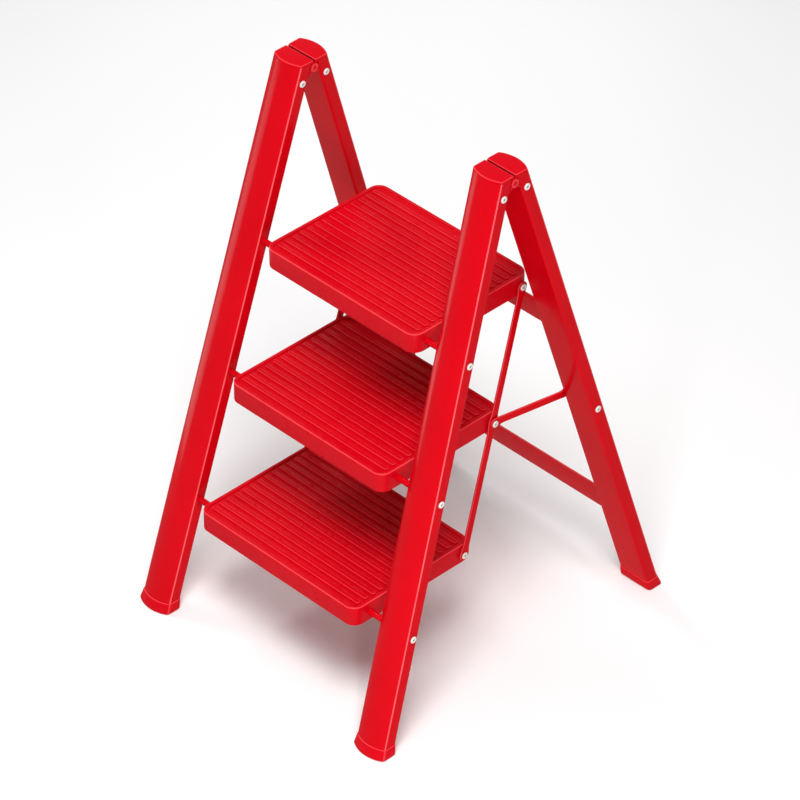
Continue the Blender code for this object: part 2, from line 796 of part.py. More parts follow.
def link_bar(name, side, parent):
    """Flat bar that joins the rear corners of all treads on one side."""
    bm = bmesh.new()
    last = len(TREAD_NAMES) - 1
    start = link_point(0)
    span = link_point(last) - start
    centres = [span.length * number / last for number in range(last + 1)]
    slope = (bar_x(last) - bar_x(0)) / span.length
    stations = eye_stations(centres)
    flat_bar(bm, start, span.normalized(), stations, lambda d: side * (bar_x(0) + slope * d))
    made = piece(name, bm, link_point(1) + Vector((side * bar_x(1), 0.0, 0.0)), parent, red_lacquer)
    spots = [link_point(number) for number in range(last + 1)]
    places = [bar_x(number) for number in range(last + 1)]
    combine(made, rivet_bores(name + "_bores", side, spots, places), "DIFFERENCE")


def stay(name, side, parent):
    """Flat bar from the middle tread's rear rivet to the rear leg, bent outwards between its eyes."""
    bm = bmesh.new()
    start = link_point(1)
    span = stay_point() - start
    rear_x = stay_outer_x() - BAR_THICKNESS / 2
    run = span.length - 2 * STAY_FLAT

    def shift(distance):
        share = min(max((distance - STAY_FLAT) / run, 0.0), 1.0)
        return side * (stay_x() + (rear_x - stay_x()) * share)

    stations = eye_stations([0.0, span.length])
    half = blended_half(STAY_FLAT)
    stations += [(STAY_FLAT, half), (span.length - STAY_FLAT, half)]
    stations.sort()
    flat_bar(bm, start, span.normalized(), stations, shift)
    made = piece(name, bm, start + Vector((side * stay_x(), 0.0, 0.0)), parent, red_lacquer)
    spots = [start, stay_point()]
    combine(made, rivet_bores(name + "_bores", side, spots, [stay_x(), rear_x]), "DIFFERENCE")


def link_rivet(name, index, side, parent):
    """Rivet at a rear corner of a tread, through link bar and boss."""
    spot = link_point(index)
    outer = stay_x() if index == 1 else bar_x(index)
    face = outer + BAR_THICKNESS / 2 + FIT + RIVET_HEAD * bar_tilt()
    length = face - tread_half_width(index) + RIVET_LENGTH
    seat = spot + Vector((side * face, 0.0, 0.0))
    rivet_piece(name, seat, Vector((-side, 0.0, 0.0)), length, parent)


def stay_eye_rivet(name, side, parent):
    """Rivet in the stay's rear eye, with its head on the inboard face."""
    inner = stay_outer_x() - BAR_THICKNESS - FIT
    seat = stay_point() + Vector((side * inner, 0.0, 0.0))
    rivet_piece(name, seat, Vector((side, 0.0, 0.0)), BAR_THICKNESS, parent)


def stay_pin(name, side, parent):
    """Pin through the rear leg that ends just short of the stay's eye."""
    bm = bmesh.new()
    leg = Leg(REAR, side)
    spot = stay_point()
    start = Vector((side * (stay_outer_x() + STAY_PIN_GAP), spot.y, spot.z))
    end = Vector((pin_end_x(leg, spot), spot.y, spot.z))
    rod(bm, start, end, ROD_RADIUS)
    made = piece(name, bm, start, parent, red_lacquer)
    combine(made, rod_end_bore(name + "_bore", leg, spot), "DIFFERENCE")


def crossbar_ring(leg, down):
    """Outline of a crossbar's end against the inner face of a rear leg."""
    far = CROSSBAR_NEAR + CROSSBAR_DEPTH
    bottom = down + CROSSBAR_HEIGHT
    corners = [(CROSSBAR_NEAR, down), (far, down), (far, bottom), (CROSSBAR_NEAR, bottom)]
    outline = rounded(corners, [CROSSBAR_CORNER] * 4, CORNER_STEPS)
    return [leg.point(-LEG_WIDTH / 2 - FIT, out, along) for out, along in outline]


def crossbar(index, parent):
    """Flat bar between the rear legs."""
    bm = bmesh.new()
    right = Leg(REAR, RIGHT)
    down = CROSSBAR_DOWN[index]
    loft(bm, [crossbar_ring(Leg(REAR, LEFT), down), crossbar_ring(right, down)])
    spot = right.point(0.0, CROSSBAR_NEAR + CROSSBAR_DEPTH / 2, down + CROSSBAR_HEIGHT / 2)
    piece("crossbar_" + CROSSBAR_NAMES[index], bm, Vector((0.0, spot.y, spot.z)), parent, red_lacquer)


def build():
    """Model every piece in its place."""
    for old in list(bpy.data.objects):
        bpy.data.objects.remove(old, do_unlink=True)
    hinge = Vector((0.0, 0.0, HINGE_Z))
    front_frame = axis_empty("front_frame", hinge)
    rear_frame = axis_empty("rear_frame", hinge)
    pivots = [pivot_point(index) for index in range(len(TREAD_NAMES))]
    for side, word in ((LEFT, "left"), (RIGHT, "right")):
        hinge_hole = hinge_bore("hinge_bore_" + word, side)
        for depth, part, parent in ((FRONT, "front", front_frame), (REAR, "rear", rear_frame)):
            leg = Leg(depth, side)
            cap_hole = cap_rivet_bore(part + "_cap_bore_" + word, leg)
            spots = pivots if depth == FRONT else [stay_point()]
            holes = side_bores(part + "_side_bores_" + word, leg, spots)
            leg_tube(part + "_leg_" + word, leg, parent, [cap_hole, holes])
            cap(part + "_cap_" + word, leg, parent, [hinge_hole, cap_hole])
            foot(part + "_foot_" + word, leg, parent)
            cap_rivets(part + "_cap_rivet_" + word, leg, parent)
        hinge_pin("hinge_pin_" + word, side, front_frame)
        for index, spot in enumerate(pivots):
            name = "pivot_rivet_" + TREAD_NAMES[index] + "_" + word
            side_rivet(name, Leg(FRONT, side), spot, front_frame)
        stay_pin("stay_pin_" + word, side, rear_frame)
        side_rivet("stay_pin_rivet_" + word, Leg(REAR, side), stay_point(), rear_frame)
    for index in range(len(CROSSBAR_NAMES)):
        crossbar(index, rear_frame)
    for index in range(len(TREAD_NAMES)):
        pivot_rod(index, front_frame)
        step_axis = axis_empty("axis_" + TREAD_NAMES[index], pivots[index])
        tread(index, step_axis)
        for side, word in ((LEFT, "_left"), (RIGHT, "_right")):
            link_rivet("link_rivet_" + TREAD_NAMES[index] + word, index, side, step_axis)
    link_axis = axis_empty("link_axis", link_point(1))
    stay_axis = axis_empty("stay_axis", link_point(1))
    for side, word in ((LEFT, "left"), (RIGHT, "right")):
        link_bar("link_" + word, side, link_axis)
        stay("stay_" + word, side, stay_axis)
        stay_eye_rivet("stay_eye_rivet_" + word, side, stay_axis)


build()
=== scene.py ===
"""Surfaces, finishes and stage of a folding step ladder with three ribbed treads."""

import math

import bmesh
import bpy
import numpy as np
from mathutils import Matrix, Vector


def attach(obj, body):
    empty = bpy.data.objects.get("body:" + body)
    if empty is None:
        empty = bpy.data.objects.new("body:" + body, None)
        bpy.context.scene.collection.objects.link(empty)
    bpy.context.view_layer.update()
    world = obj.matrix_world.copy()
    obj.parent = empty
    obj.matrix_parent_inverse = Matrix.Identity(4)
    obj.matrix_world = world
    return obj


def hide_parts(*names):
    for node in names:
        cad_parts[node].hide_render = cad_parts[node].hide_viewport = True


bl_info = {
    "name": "Three-Tread Step Ladder",
    "version": (1, 0, 0),
    "blender": (4, 5, 0),
    "location": "3D View > Sidebar > Ladder",
    "description": "Builds the surfaces, finishes and stage of a folding step ladder",
    "category": "Add Mesh",
}

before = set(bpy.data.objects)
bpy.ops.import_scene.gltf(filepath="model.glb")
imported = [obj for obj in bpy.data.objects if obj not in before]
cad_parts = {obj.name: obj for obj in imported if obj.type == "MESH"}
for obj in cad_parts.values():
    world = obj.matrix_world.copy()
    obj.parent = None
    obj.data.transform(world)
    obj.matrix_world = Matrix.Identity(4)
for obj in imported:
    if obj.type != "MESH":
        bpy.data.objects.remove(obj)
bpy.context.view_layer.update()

FRONT, REAR, LEFT, RIGHT = -1, 1, -1, 1
SIDES = ((LEFT, "left"), (RIGHT, "right"))
ENDS = ((FRONT, "front"), (REAR, "rear"))
TREADS = ("top", "middle", "bottom")
CROSSBARS = ("upper", "lower")

# Fits and softened edges, in metres
CLEARANCE = 0.0003
PLAY = 0.0005
BAR_PLAY = 0.0004
OVERLAP = 0.0005
BROKEN_EDGE = 0.0003
BAR_EDGE = 0.0008

# Points on a tube's corner, on its rounded front and round a turned body
CORNER_STEPS = 8
FRONT_STEPS = 40
ROUND_STEPS = 40

# Angles past which an edge is drawn sharp or is softened
SHARP_ANGLE = math.radians(35.0)
SOFT_ANGLE = math.radians(40.0)

# Colour drift of the coatings as factors of red, green and blue
DARKER = (0.96, 0.95, 0.95)
LIGHTER = (1.04, 1.05, 1.10)

# Scale and detail of the noises in the coatings
DRIFT = (7.0, 3.0)
GLOSS = (38.0, 4.0)
MARKS = (60.0, 6.0)

# Place, target, size and power of each lamp
LAMPS = {
    "key": ((1.9, -2.0, 5.8), (0.0, 0.0, 0.5), (2.4, 2.4), 335.0),
    "left_high": ((-1.6, 0.0, 2.6), (0.0, 0.0, 0.5), (0.4, 0.4), 11.0),
    "left_back": ((-1.6, 1.6, 0.95), (0.0, 0.0, 0.5), (1.2, 0.5), 4.5),
    "strip_left": ((-1.0, -0.5, 0.38), (-0.27, -0.25, 0.4), (0.40, 0.75), 1.3),
    "strip_right": ((1.25, -1.15, 0.42), (0.2, -0.2, 0.45), (0.06, 0.80), 6.0),
}

# The camera in metres, radians and pixels of a picture 800 wide
CAMERA_PLACE = (4.794857, -4.628735, 5.484477)
CAMERA_AZIMUTH = 0.80276
CAMERA_ELEVATION = math.radians(37.31)
CAMERA_ROLL = math.radians(-0.232)
CAMERA_FOCAL = 5181.084
CAMERA_CENTRE = (401.308, 396.339)
PICTURE = 800


def length(name, text, default):
    """A length in metres with its name and description."""
    return bpy.props.FloatProperty(name=name, description=text, default=default, min=0.0,
                                   unit="LENGTH", precision=4)


def angle(name, text, degrees):
    """An angle with its name and description."""
    return bpy.props.FloatProperty(name=name, description=text, default=math.radians(degrees),
                                   subtype="ANGLE")


def colour(name, text, default):
    """A colour with its name and description."""
    return bpy.props.FloatVectorProperty(name=name, description=text, default=default, size=3,
                                         min=0.0, max=1.0, subtype="COLOR")


def amount(name, text, default):
    """A share with its name and description."""
    return bpy.props.FloatProperty(name=name, description=text, default=default, min=0.0, max=1.0)


class LadderFrameSizes(bpy.types.PropertyGroup):
    """Sizes of the legs, caps, feet and crossbars."""

    height: length("Height", "Floor to the top of the caps", 0.967)
    lean: angle("Lean", "Lean of each leg from upright, seen from the side", 16.85)
    splay: angle("Splay", "Outward lean of each leg, seen from the front", 1.95)
    spread: length("Spread", "Middle of the ladder to a leg's axis at the apex", 0.22186)
    hinge_drop: length("Hinge Drop", "Top of the caps down to the hinge axis", 0.01465)
    hinge_offset: length("Hinge Offset", "Hinge axis to a leg's flat face", 0.0078)
    leg_width: length("Leg Width", "Width of the leg tube", 0.063)
    leg_side: length("Leg Side", "Depth of the leg tube's straight sides", 0.0225)
    leg_bulge: length("Leg Bulge", "Rise of the leg tube's rounded front", 0.0088)
    leg_wall: length("Leg Wall", "Wall of the leg tube", 0.0016)
    leg_corner: length("Leg Corner", "Corner radius of the leg tube", 0.0032)
    cap_plate: length("Cap Plate", "Thickness of the cap above the tube", 0.0037)
    cap_edge: length("Cap Edge", "Rounding of the cap's upper edge", 0.0012)
    cap_gap: length("Cap Gap", "Hinge plane to the face of each cap", 0.0018)
    knuckle_radius: length("Knuckle Radius", "Radius of the hinge knuckles", 0.0076)
    lug_foot: length("Lug Foot", "Apex to the lower end of the hinge lug", 0.042)
    pin_radius: length("Pin Radius", "Radius of the hinge pins", 0.003)
    pin_cover: length("Pin Cover", "Closed wall outboard of the hinge pins", 0.002)
    knuckle_proud: length("Knuckle Rise", "Rise of the outer knuckles over the lug's sides", 0.0012)
    cap_plug: length("Cap Plug", "Depth of a cap's plug in the tube", 0.050)
    foot_height: length("Foot Height", "Height of the boots", 0.018)
    foot_wall: length("Foot Wall", "How far the boots stand proud of the tubes", 0.0012)
    foot_flare: length("Foot Flare", "What the boots gain towards the floor", 0.0022)
    foot_edge: length("Foot Edge", "Rounding of the boots at the floor", 0.0030)
    foot_plug: length("Foot Plug", "Height of a boot's plug in the tube", 0.028)
    crossbar_height: length("Crossbar Height", "Height of the crossbars along the legs", 0.057)
    crossbar_near: length("Crossbar Recess", "Legs' flat faces to the crossbars", 0.0107)
    crossbar_depth: length("Crossbar Depth", "Thickness of the crossbars", 0.0024)
    crossbar_upper: length("Upper Crossbar", "Apex to the upper crossbar along the leg", 0.352)
    crossbar_lower: length("Lower Crossbar", "Apex to the lower crossbar along the leg", 0.812)


class LadderTreadSizes(bpy.types.PropertyGroup):
    """Sizes of the treads and their ribs."""

    top_pivot: length("Top Pivot", "Apex to the top tread's rod along the leg", 0.33224)
    pitch: length("Tread Pitch", "Rod to rod along the leg", 0.240)
    pivot_out: length("Pivot Inset", "Leg's flat face to the rods", 0.0102)
    side_gap: length("Side Gap", "Leg's inner face to the top tread", 0.0304)
    side_gap_growth: length("Side Gap Growth", "What the side gap gains with each tread", 0.0022)
    overhang_top: length("Top Overhang", "Top tread's front edge ahead of its rod", 0.0285)
    overhang_middle: length("Middle Overhang", "Middle tread's front edge ahead of its rod", 0.037)
    overhang_bottom: length("Bottom Overhang", "Bottom tread's front edge ahead of its rod", 0.036)
    reach: length("Rear Reach", "Rod to a tread's rear edge", 0.2265)
    rise: length("Tread Rise", "Rod to the top of the rim", 0.0205)
    skirt: length("Skirt Drop", "Rod to the skirt's lower edge", 0.0155)
    corner: length("Plan Corner", "Corner radius of the treads in plan", 0.020)
    edge: length("Edge Radius", "Rounding of the treads' upper edge", 0.0020)
    wall: length("Skirt Wall", "Thickness of the skirt", 0.003)
    rim: length("Rim Width", "Width of the rim round the recess", 0.0055)
    recess: length("Recess", "Depth of the recess that the ribs stand in", 0.0028)
    plate: length("Plate", "Thickness of the tread under the recess", 0.003)
    web: length("Web", "Thickness of the webs below", 0.0024)
    rib_pitch: length("Rib Pitch", "Rib to rib, about", 0.0165)
    rib_width: length("Rib Width", "Width of a rib at its foot", 0.0090)
    rib_top: length("Rib Top", "Width across a rib's upper edges", 0.0080)
    rib_margin: length("Rib Margin", "Edge of the tread to the first rib's middle", 0.0225)
    rib_end: length("Rib End", "Side of the tread to the ends of the ribs", 0.0100)
    rib_edge: length("Rib Edge", "Rounding of the ribs' upper edges", 0.0009)
    sleeve_wall: length("Sleeve Wall", "Wall of the sleeve round the rod", 0.0033)
    boss_radius: length("Boss Radius", "Radius of the rivet bosses", 0.0075)
    boss_depth: length("Boss Depth", "Length of the rivet bosses inside the tread", 0.014)


class LadderFittingSizes(bpy.types.PropertyGroup):
    """Sizes of rods, rivets, link bars and stays."""

    rod_radius: length("Rod Radius", "Radius of the rods that carry the treads", 0.0055)
    rivet_radius: length("Rivet Radius", "Radius of the rivet heads", 0.006)
    rivet_rise: length("Rivet Rise", "Height of the rivet heads", 0.0022)
    rivet_hole: length("Rivet Hole", "Radius of the open middle of the heads", 0.0021)
    cap_rivet_down: length("Cap Rivet Down", "Apex to the cap rivets along the leg", 0.051)
    cap_rivet_out: length("Cap Rivet Inset", "Leg's flat face to the cap rivets", 0.0112)
    link_reach: length("Link Reach", "A tread's rod to its link rivets", 0.207)
    link_gap: length("Link Gap", "A tread's side to the link bar", 0.0013)
    bar_thickness: length("Bar Thickness", "Thickness of link bars and stays", 0.003)
    bar_half: length("Bar Half Width", "Half width of link bars and stays", 0.007)
    eye_radius: length("Eye Radius", "Radius of the bars' rounded eyes", 0.0095)
    eye_blend: length("Eye Blend", "Length over which a bar widens to its eye", 0.020)
    stay_down: length("Stay Down", "Apex to the stay's rear eye along the leg", 0.572)
    stay_out: length("Stay Inset", "Leg's flat face to the stay's rear eye", 0.0112)
    stay_flat: length("Stay Flat", "Length of a stay's flat ends", 0.016)
    stay_leg_gap: length("Stay Gap", "Rear leg's inner face to the stay's eye", 0.003)
    leg_shank: length("Leg Shank", "Depth of the rivets in the legs", 0.004)
    link_shank: length("Link Shank", "Depth of the rivets in the treads", 0.006)
    stay_shank: length("Stay Shank", "Depth of the rivets in the stays' rear eyes", 0.003)


class LadderFinishes(bpy.types.PropertyGroup):
    """Colours and gloss of the finishes."""

    lacquer: colour("Lacquer", "Glossy red coating of the steel", (0.61, 0.0004, 0.006))
    plastic: colour("Plastic", "Red moulded plastic", (0.61, 0.0004, 0.008))
    # Painted highlight: lighter reds laid along the edges, standing in for the lamps' reflections there.
    lacquer_highlight: colour("Lacquer Highlight", "Lighter red painted along edges as a highlight", (0.95, 0.13, 0.15))
    plastic_highlight: colour("Plastic Highlight", "Lighter red painted along edges as a highlight on the plastic", (0.93, 0.065, 0.075))
    rivet: colour("Rivet", "White lacquer of the rivet heads", (0.76, 0.74, 0.67))
    mandrel: colour("Mandrel", "Grey steel in the middle of the rivets", (0.16, 0.20, 0.17))
    lacquer_roughness: amount("Lacquer Roughness", "Roughness of the coating", 0.16)
    plastic_roughness: amount("Plastic Roughness", "Roughness of the plastic", 0.30)
    lacquer_shine: amount("Lacquer Shine", "Specular level of the coating", 0.14)
    plastic_shine: amount("Plastic Shine", "Specular level of the plastic", 0.10)
    floor: colour("Floor", "Pale floor", (0.97, 0.97, 0.97))


def frame_sizes():
    """Sizes of the frame."""
    return bpy.context.scene.ladder_frame


def tread_sizes():
    """Sizes of the treads."""
    return bpy.context.scene.ladder_treads


def fitting_sizes():
    """Sizes of the fittings."""
    return bpy.context.scene.ladder_fittings


def finishes():
    """Colours and gloss."""
    return bpy.context.scene.ladder_finishes


def feed(tree, socket, value):
    """Links a node's output to a socket, or sets the socket to a plain value."""
    if isinstance(value, bpy.types.NodeSocket):
        tree.links.new(value, socket)
    else:
        socket.default_value = value


def node_of(tree, kind, **inputs):
    """A shader node with its inputs fed by name."""
    made = tree.nodes.new(kind)
    for name, value in inputs.items():
        feed(tree, made.inputs[name.replace("_", " ")], value)
    return made


def noise(tree, place, scale, detail):
    """Noise over a place, as a value about 0.5."""
    return node_of(tree, "ShaderNodeTexNoise", Vector=place, Scale=scale, Detail=detail).outputs["Fac"]


def joined(tree, operation, first, second):
    """Two values joined by an operation."""
    made = tree.nodes.new("ShaderNodeMath")
    made.operation = operation
    feed(tree, made.inputs[0], first)
    feed(tree, made.inputs[1], second)
    return made.outputs[0]


def blended(tree, share, first, second):
    """Two colours blended by a share."""
    made = tree.nodes.new("ShaderNodeMix")
    made.data_type = "RGBA"
    for number, value in ((0, share), (6, first), (7, second)):
        feed(tree, made.inputs[number], value)
    return made.outputs[2]


def ranged(tree, value, low, high, start=0.3, end=0.7):
    """A noise value carried from start..end to low..high."""
    made = node_of(tree, "ShaderNodeMapRange", Value=value, From_Min=start, From_Max=end, To_Min=low,
                   To_Max=high)
    return made.outputs["Result"]


def coated(name, base, roughness, shine, grain, coat=0.0, stretch=(1.0, 1.0, 1.0), scuffs=0.0, edge=None):
    """Coated surface: colour drift, uneven gloss, fine grain, faint scuffs and a painted highlight along
    edges.

    Grain is the scale and depth of the surface's relief. The mesh's point attribute of painted highlight,
    broken up by the gloss noise, blends in the edge colour, a lighter red painted as a highlight along
    edges.
    """
    made = bpy.data.materials.get(name)
    if made:
        return made
    made = bpy.data.materials.new(name)
    made.use_nodes = True
    tree = made.node_tree
    shader = tree.nodes["Principled BSDF"]
    place = tree.nodes.new("ShaderNodeTexCoord").outputs["Object"]
    gloss = noise(tree, place, *GLOSS)
    tones = [(*np.multiply(base, factors), 1.0) for factors in (DARKER, LIGHTER)]
    shade = blended(tree, ranged(tree, noise(tree, place, *DRIFT), 0.0, 1.0), *tones)
    # Painted highlight: the edge colour is blended in where the mesh marks its edges, standing in for light
    # caught there.
    if edge is not None:
        highlight_share = tree.nodes.new("ShaderNodeAttribute")
        highlight_share.attribute_name = "worn"
        patchy_highlight = joined(tree, "MULTIPLY", highlight_share.outputs["Fac"], ranged(tree, gloss, 0.75, 1.0))
        shade = blended(tree, patchy_highlight, shade, (*edge, 1.0))
    rough = ranged(tree, gloss, roughness * 0.85, roughness * 1.2)
    if scuffs > 0.0:
        mapped = node_of(tree, "ShaderNodeMapping", Vector=place, Scale=stretch).outputs["Vector"]
        marks = ranged(tree, noise(tree, mapped, *MARKS), 0.0, scuffs, 0.55, 0.75)
        rough = joined(tree, "ADD", rough, marks)
    scale, depth = grain
    bump = node_of(tree, "ShaderNodeBump", Height=noise(tree, place, scale, 2.0), Strength=0.35,
                   Distance=depth)
    for socket, value in (("Base Color", shade), ("Roughness", rough), ("Normal", bump.outputs["Normal"]),
                          ("Specular IOR Level", shine), ("Coat Weight", coat), ("Coat Roughness", 0.12),
                          ("IOR", 1.5)):
        feed(tree, shader.inputs[socket], value)
    made.diffuse_color = (*base, 1.0)
    return made


def red_lacquer():
    """Glossy red powder coat with a fine orange peel."""
    looks = finishes()
    return coated("scarlet_lacquer", looks.lacquer, looks.lacquer_roughness, looks.lacquer_shine,
                  grain=(900.0, 0.00006), edge=looks.lacquer_highlight)


def red_plastic():
    """Red moulded plastic with a faint grain and scuffs along the treads."""
    looks = finishes()
    return coated("scarlet_plastic", looks.plastic, looks.plastic_roughness, looks.plastic_shine,
                  grain=(2200.0, 0.00004), stretch=(0.25, 1.0, 1.0), scuffs=0.015, edge=looks.plastic_highlight)


def rivet_white():
    """White lacquer of the rivet heads, slightly uneven."""
    return coated("rivet_enamel", finishes().rivet, roughness=0.32, shine=0.4, grain=(1500.0, 0.00003),
                  coat=0.2)


def rivet_mandrel():
    """Grey steel stub in the open middle of a rivet, with turning marks."""
    made = coated("rivet_stub", finishes().mandrel, roughness=0.45, shine=0.5, grain=(2600.0, 0.00003),
                  stretch=(1.0, 6.0, 6.0), scuffs=0.12)
    made.node_tree.nodes["Principled BSDF"].inputs["Metallic"].default_value = 1.0
    return made


class Shell:
    """Collects bodies made of rings of points and turns them into one mesh.

    A body is an array of rings, each with the same number of points. Quads join
    neighbouring points of neighbouring rings. The ends are closed by one face each,
    or the last ring is joined to the first.
    """

    def __init__(self):
        self.points, self.quads, self.ends = [], [], []
        self.kinds, self.end_kinds, self.worn = [], [], []
        self.count = 0

    def add(self, rings, looped=False, kinds=None, end_kinds=(0, 0), worn=0.0):
        """Adds a body; kinds numbers the material of each band, and the last argument gives the painted
        highlight of its points.
        """
        rings = np.asarray(rings, dtype=np.float64)
        rows, across = rings.shape[:2]
        base = self.count + np.arange(rows * across).reshape(rows, across)
        below = base if looped else base[:-1]
        above = np.roll(base, -1, axis=0) if looped else base[1:]
        quad = np.stack([below, np.roll(below, -1, axis=1), np.roll(above, -1, axis=1), above], -1)
        self.quads.append(quad.reshape(-1, 4))
        bands = np.zeros(len(below), dtype=int) if kinds is None else np.asarray(kinds)
        self.kinds.append(np.repeat(bands, across))
        if not looped:
            self.ends += [base[0][::-1].tolist(), base[-1].tolist()]
            self.end_kinds += list(end_kinds)
        self.points.append(rings.reshape(-1, 3))
        self.worn.append(np.broadcast_to(worn, (rows, across)).ravel())
        self.count += rows * across

    def finish(self, name, node, body, materials, bevel=0.0):
        """Makes the mesh object, which stands for a node and rides on a body."""
        points = np.concatenate(self.points)
        faces = np.concatenate(self.quads).tolist() + self.ends
        mesh = bpy.data.meshes.new(name)
        mesh.from_pydata(points, [], faces)
        kinds = np.concatenate(self.kinds + [self.end_kinds]).astype(int)
        mesh.polygons.foreach_set("material_index", kinds)
        # Share of painted highlight at each point, read by the coatings' edge colour.
        highlight_share = mesh.attributes.new("worn", "FLOAT", "POINT")
        highlight_share.data.foreach_set("value", np.concatenate(self.worn).astype(np.float32))
        bm = bmesh.new()
        bm.from_mesh(mesh)
        bmesh.ops.remove_doubles(bm, verts=bm.verts, dist=1e-7)
        bmesh.ops.recalc_face_normals(bm, faces=bm.faces)
        bm.to_mesh(mesh)
        bm.free()
        for made in materials:
            mesh.materials.append(made)
        mesh.shade_smooth()
        mesh.set_sharp_from_angle(angle=SHARP_ANGLE)
        piece = bpy.data.objects.new(name, mesh)
        bpy.context.scene.collection.objects.link(piece)
        if bevel > 0.0:
            soft = piece.modifiers.new("soft_edges", "BEVEL")
            soft.width = bevel
            soft.segments = 2
            soft.limit_method = "ANGLE"
            soft.angle_limit = SOFT_ANGLE
            soft.harden_normals = True
        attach(piece, body)
        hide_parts(node)


def lacquered(name, node, body, rings, worn=0.0, looped=False):
    """One lacquered body, made a piece."""
    shell = Shell()
    shell.add(rings, looped=looped, worn=worn)
    shell.finish(name, node, body, [red_lacquer()])


class Leg:
    """Frame of one leg: across points outboard, out away from the flat face, down along it."""

    def __init__(self, depth, side):
        sizes = frame_sizes()
        hinge = sizes.height - sizes.hinge_drop
        sine, cosine = math.sin(sizes.lean), math.cos(sizes.lean)
        self.depth, self.side, self.hinge = depth, side, hinge
        self.origin = np.array([side * sizes.spread, 0.0, hinge + sizes.hinge_offset / sine])
        self.down = np.array([side * math.tan(sizes.splay), depth * sine, -cosine])
        self.out = np.array([0.0, depth * cosine, sine])
        across = np.cross(self.out, self.down) * (-side * depth)
        self.across = across / np.linalg.norm(across)

    def point(self, across, out, down):
        """World points of the leg's own coordinates."""
        across, out, down = np.broadcast_arrays(across, out, down)
        return (self.origin + across[..., None] * self.across + out[..., None] * self.out
                + down[..., None] * self.down)

    def at_height(self, across, out, height):
        """Points of the lengthwise lines through across and out, at a height."""
        base = self.point(across, out, 0.0)
        return base + ((height - base[..., 2]) / self.down[2])[..., None] * self.down

    def beside(self, across, y, z):
        """Points with the given Y and Z on the lengthwise planes at across."""
        across, y, z = np.broadcast_arrays(across, y, z)
        base = self.point(across, 0.0, 0.0)
        det = self.out[1] * self.down[2] - self.out[2] * self.down[1]
        out = ((y - base[..., 1]) * self.down[2] - (z - base[..., 2]) * self.down[1]) / det
        down = (self.out[1] * (z - base[..., 2]) - self.out[2] * (y - base[..., 1])) / det
        return self.point(across, out, down)

    def side_x(self, across, spot):
        """X of the lengthwise plane at across, level with a spot."""
        return self.beside(across, spot[1], spot[2])[0]

    def inner_x(self, spot):
        """X of the leg's inner face, level with a spot."""
        return self.side_x(-frame_sizes().leg_width / 2, spot)

    def middle(self, out, down):
        """Point of the ladder's middle plane, level with a point on the leg."""
        return self.point(0.0, out, down) * (0.0, 1.0, 1.0)


def rounded(corners, radii, steps):
    """Outline with arcs at its corners.

    At each corner the arc's centre lies on the bisector, radius over the sine of half the
    corner's angle away; the arc's points are blends of its two end spokes by sines.
    """
    corners = np.asarray(corners, dtype=np.float64)
    parts = []
    befores, afters = np.roll(corners, 1, 0), np.roll(corners, -1, 0)
    for corner, before, after, radius in zip(corners, befores, afters, radii):
        if radius <= 0.0:
            parts.append(corner[None])
            continue
        back = (before - corner) / np.linalg.norm(before - corner)
        on = (after - corner) / np.linalg.norm(after - corner)
        half = math.acos(np.clip(back @ on, -1.0, 1.0)) / 2
        bisector = (back + on) / np.linalg.norm(back + on)
        centre = corner + bisector * radius / math.sin(half)
        start = corner + back * radius / math.tan(half) - centre
        end = corner + on * radius / math.tan(half) - centre
        sweep = math.pi - 2 * half
        part = np.linspace(0.0, sweep, steps + 1)[:, None]
        parts.append(centre + (start * np.sin(sweep - part) + end * np.sin(part)) / math.sin(sweep))
    return np.concatenate(parts)


def d_outline(inset, flat):
    """Outline of the leg tube moved inwards: flat back, straight sides and a circular front.

    The front is an arc through both side edges whose radius is (half width squared plus
    rise squared) over twice the rise. Returns the corners as pairs of across and out, and
    their radii.
    """
    sizes = frame_sizes()
    whole = sizes.leg_width / 2
    radius = (whole ** 2 + sizes.leg_bulge ** 2) / (2 * sizes.leg_bulge)
    centre = sizes.leg_side + sizes.leg_bulge - radius
    half, radius = whole - inset, radius - inset
    turn = np.linspace(1.0, -1.0, FRONT_STEPS + 1) * math.asin(half / radius)
    front = np.stack([radius * np.sin(turn), centre + radius * np.cos(turn)], -1)
    corner = max(sizes.leg_corner - inset, sizes.leg_corner / 4)
    corners = np.concatenate([[(-half, flat), (half, flat)], front])
    return corners, [corner, corner, corner] + [0.0] * (FRONT_STEPS - 1) + [corner]


def profile_arc(inset, height, radius, start, end, count):
    """Pairs of inset and height on an arc about a centre, from a start to an end angle in degrees."""
    turn = np.radians(np.linspace(start, end, count))
    return list(zip(inset + radius * np.cos(turn), height + radius * np.sin(turn)))


def arch(count):
    """Painted highlight across a rounded edge: half a sine wave over its points."""
    return np.sin(np.linspace(0.0, math.pi, count))


def tube_highlight():
    """Painted highlight round the tube's outline, on both edges of its rounded front."""
    edge = arch(CORNER_STEPS + 1)
    return np.concatenate([np.zeros(2 * len(edge)), edge, np.zeros(FRONT_STEPS - 1), edge])


def tube_ring(leg, height, inset):
    """D outline of a leg cut level at a height."""
    outline = rounded(*d_outline(inset, inset), CORNER_STEPS)
    return leg.at_height(outline[:, 0], outline[:, 1], height)


def cap_ring(leg, height, inset):
    """D outline cut level at a height, its flat side moved out to the gap between the caps."""
    corners, radii = d_outline(inset, 0.0)
    away = leg.depth * leg.at_height(corners[:, 0], corners[:, 1], height)[:, 1]
    away[:2] = frame_sizes().cap_gap + inset
    outline = rounded(np.stack([corners[:, 0], away], -1), radii, CORNER_STEPS)
    return leg.beside(outline[:, 0], leg.depth * outline[:, 1], height)


def four_legs():
    """Each leg, with the words of its frame and its side."""
    for depth, part in ENDS:
        for side, word in SIDES:
            yield Leg(depth, side), part, word


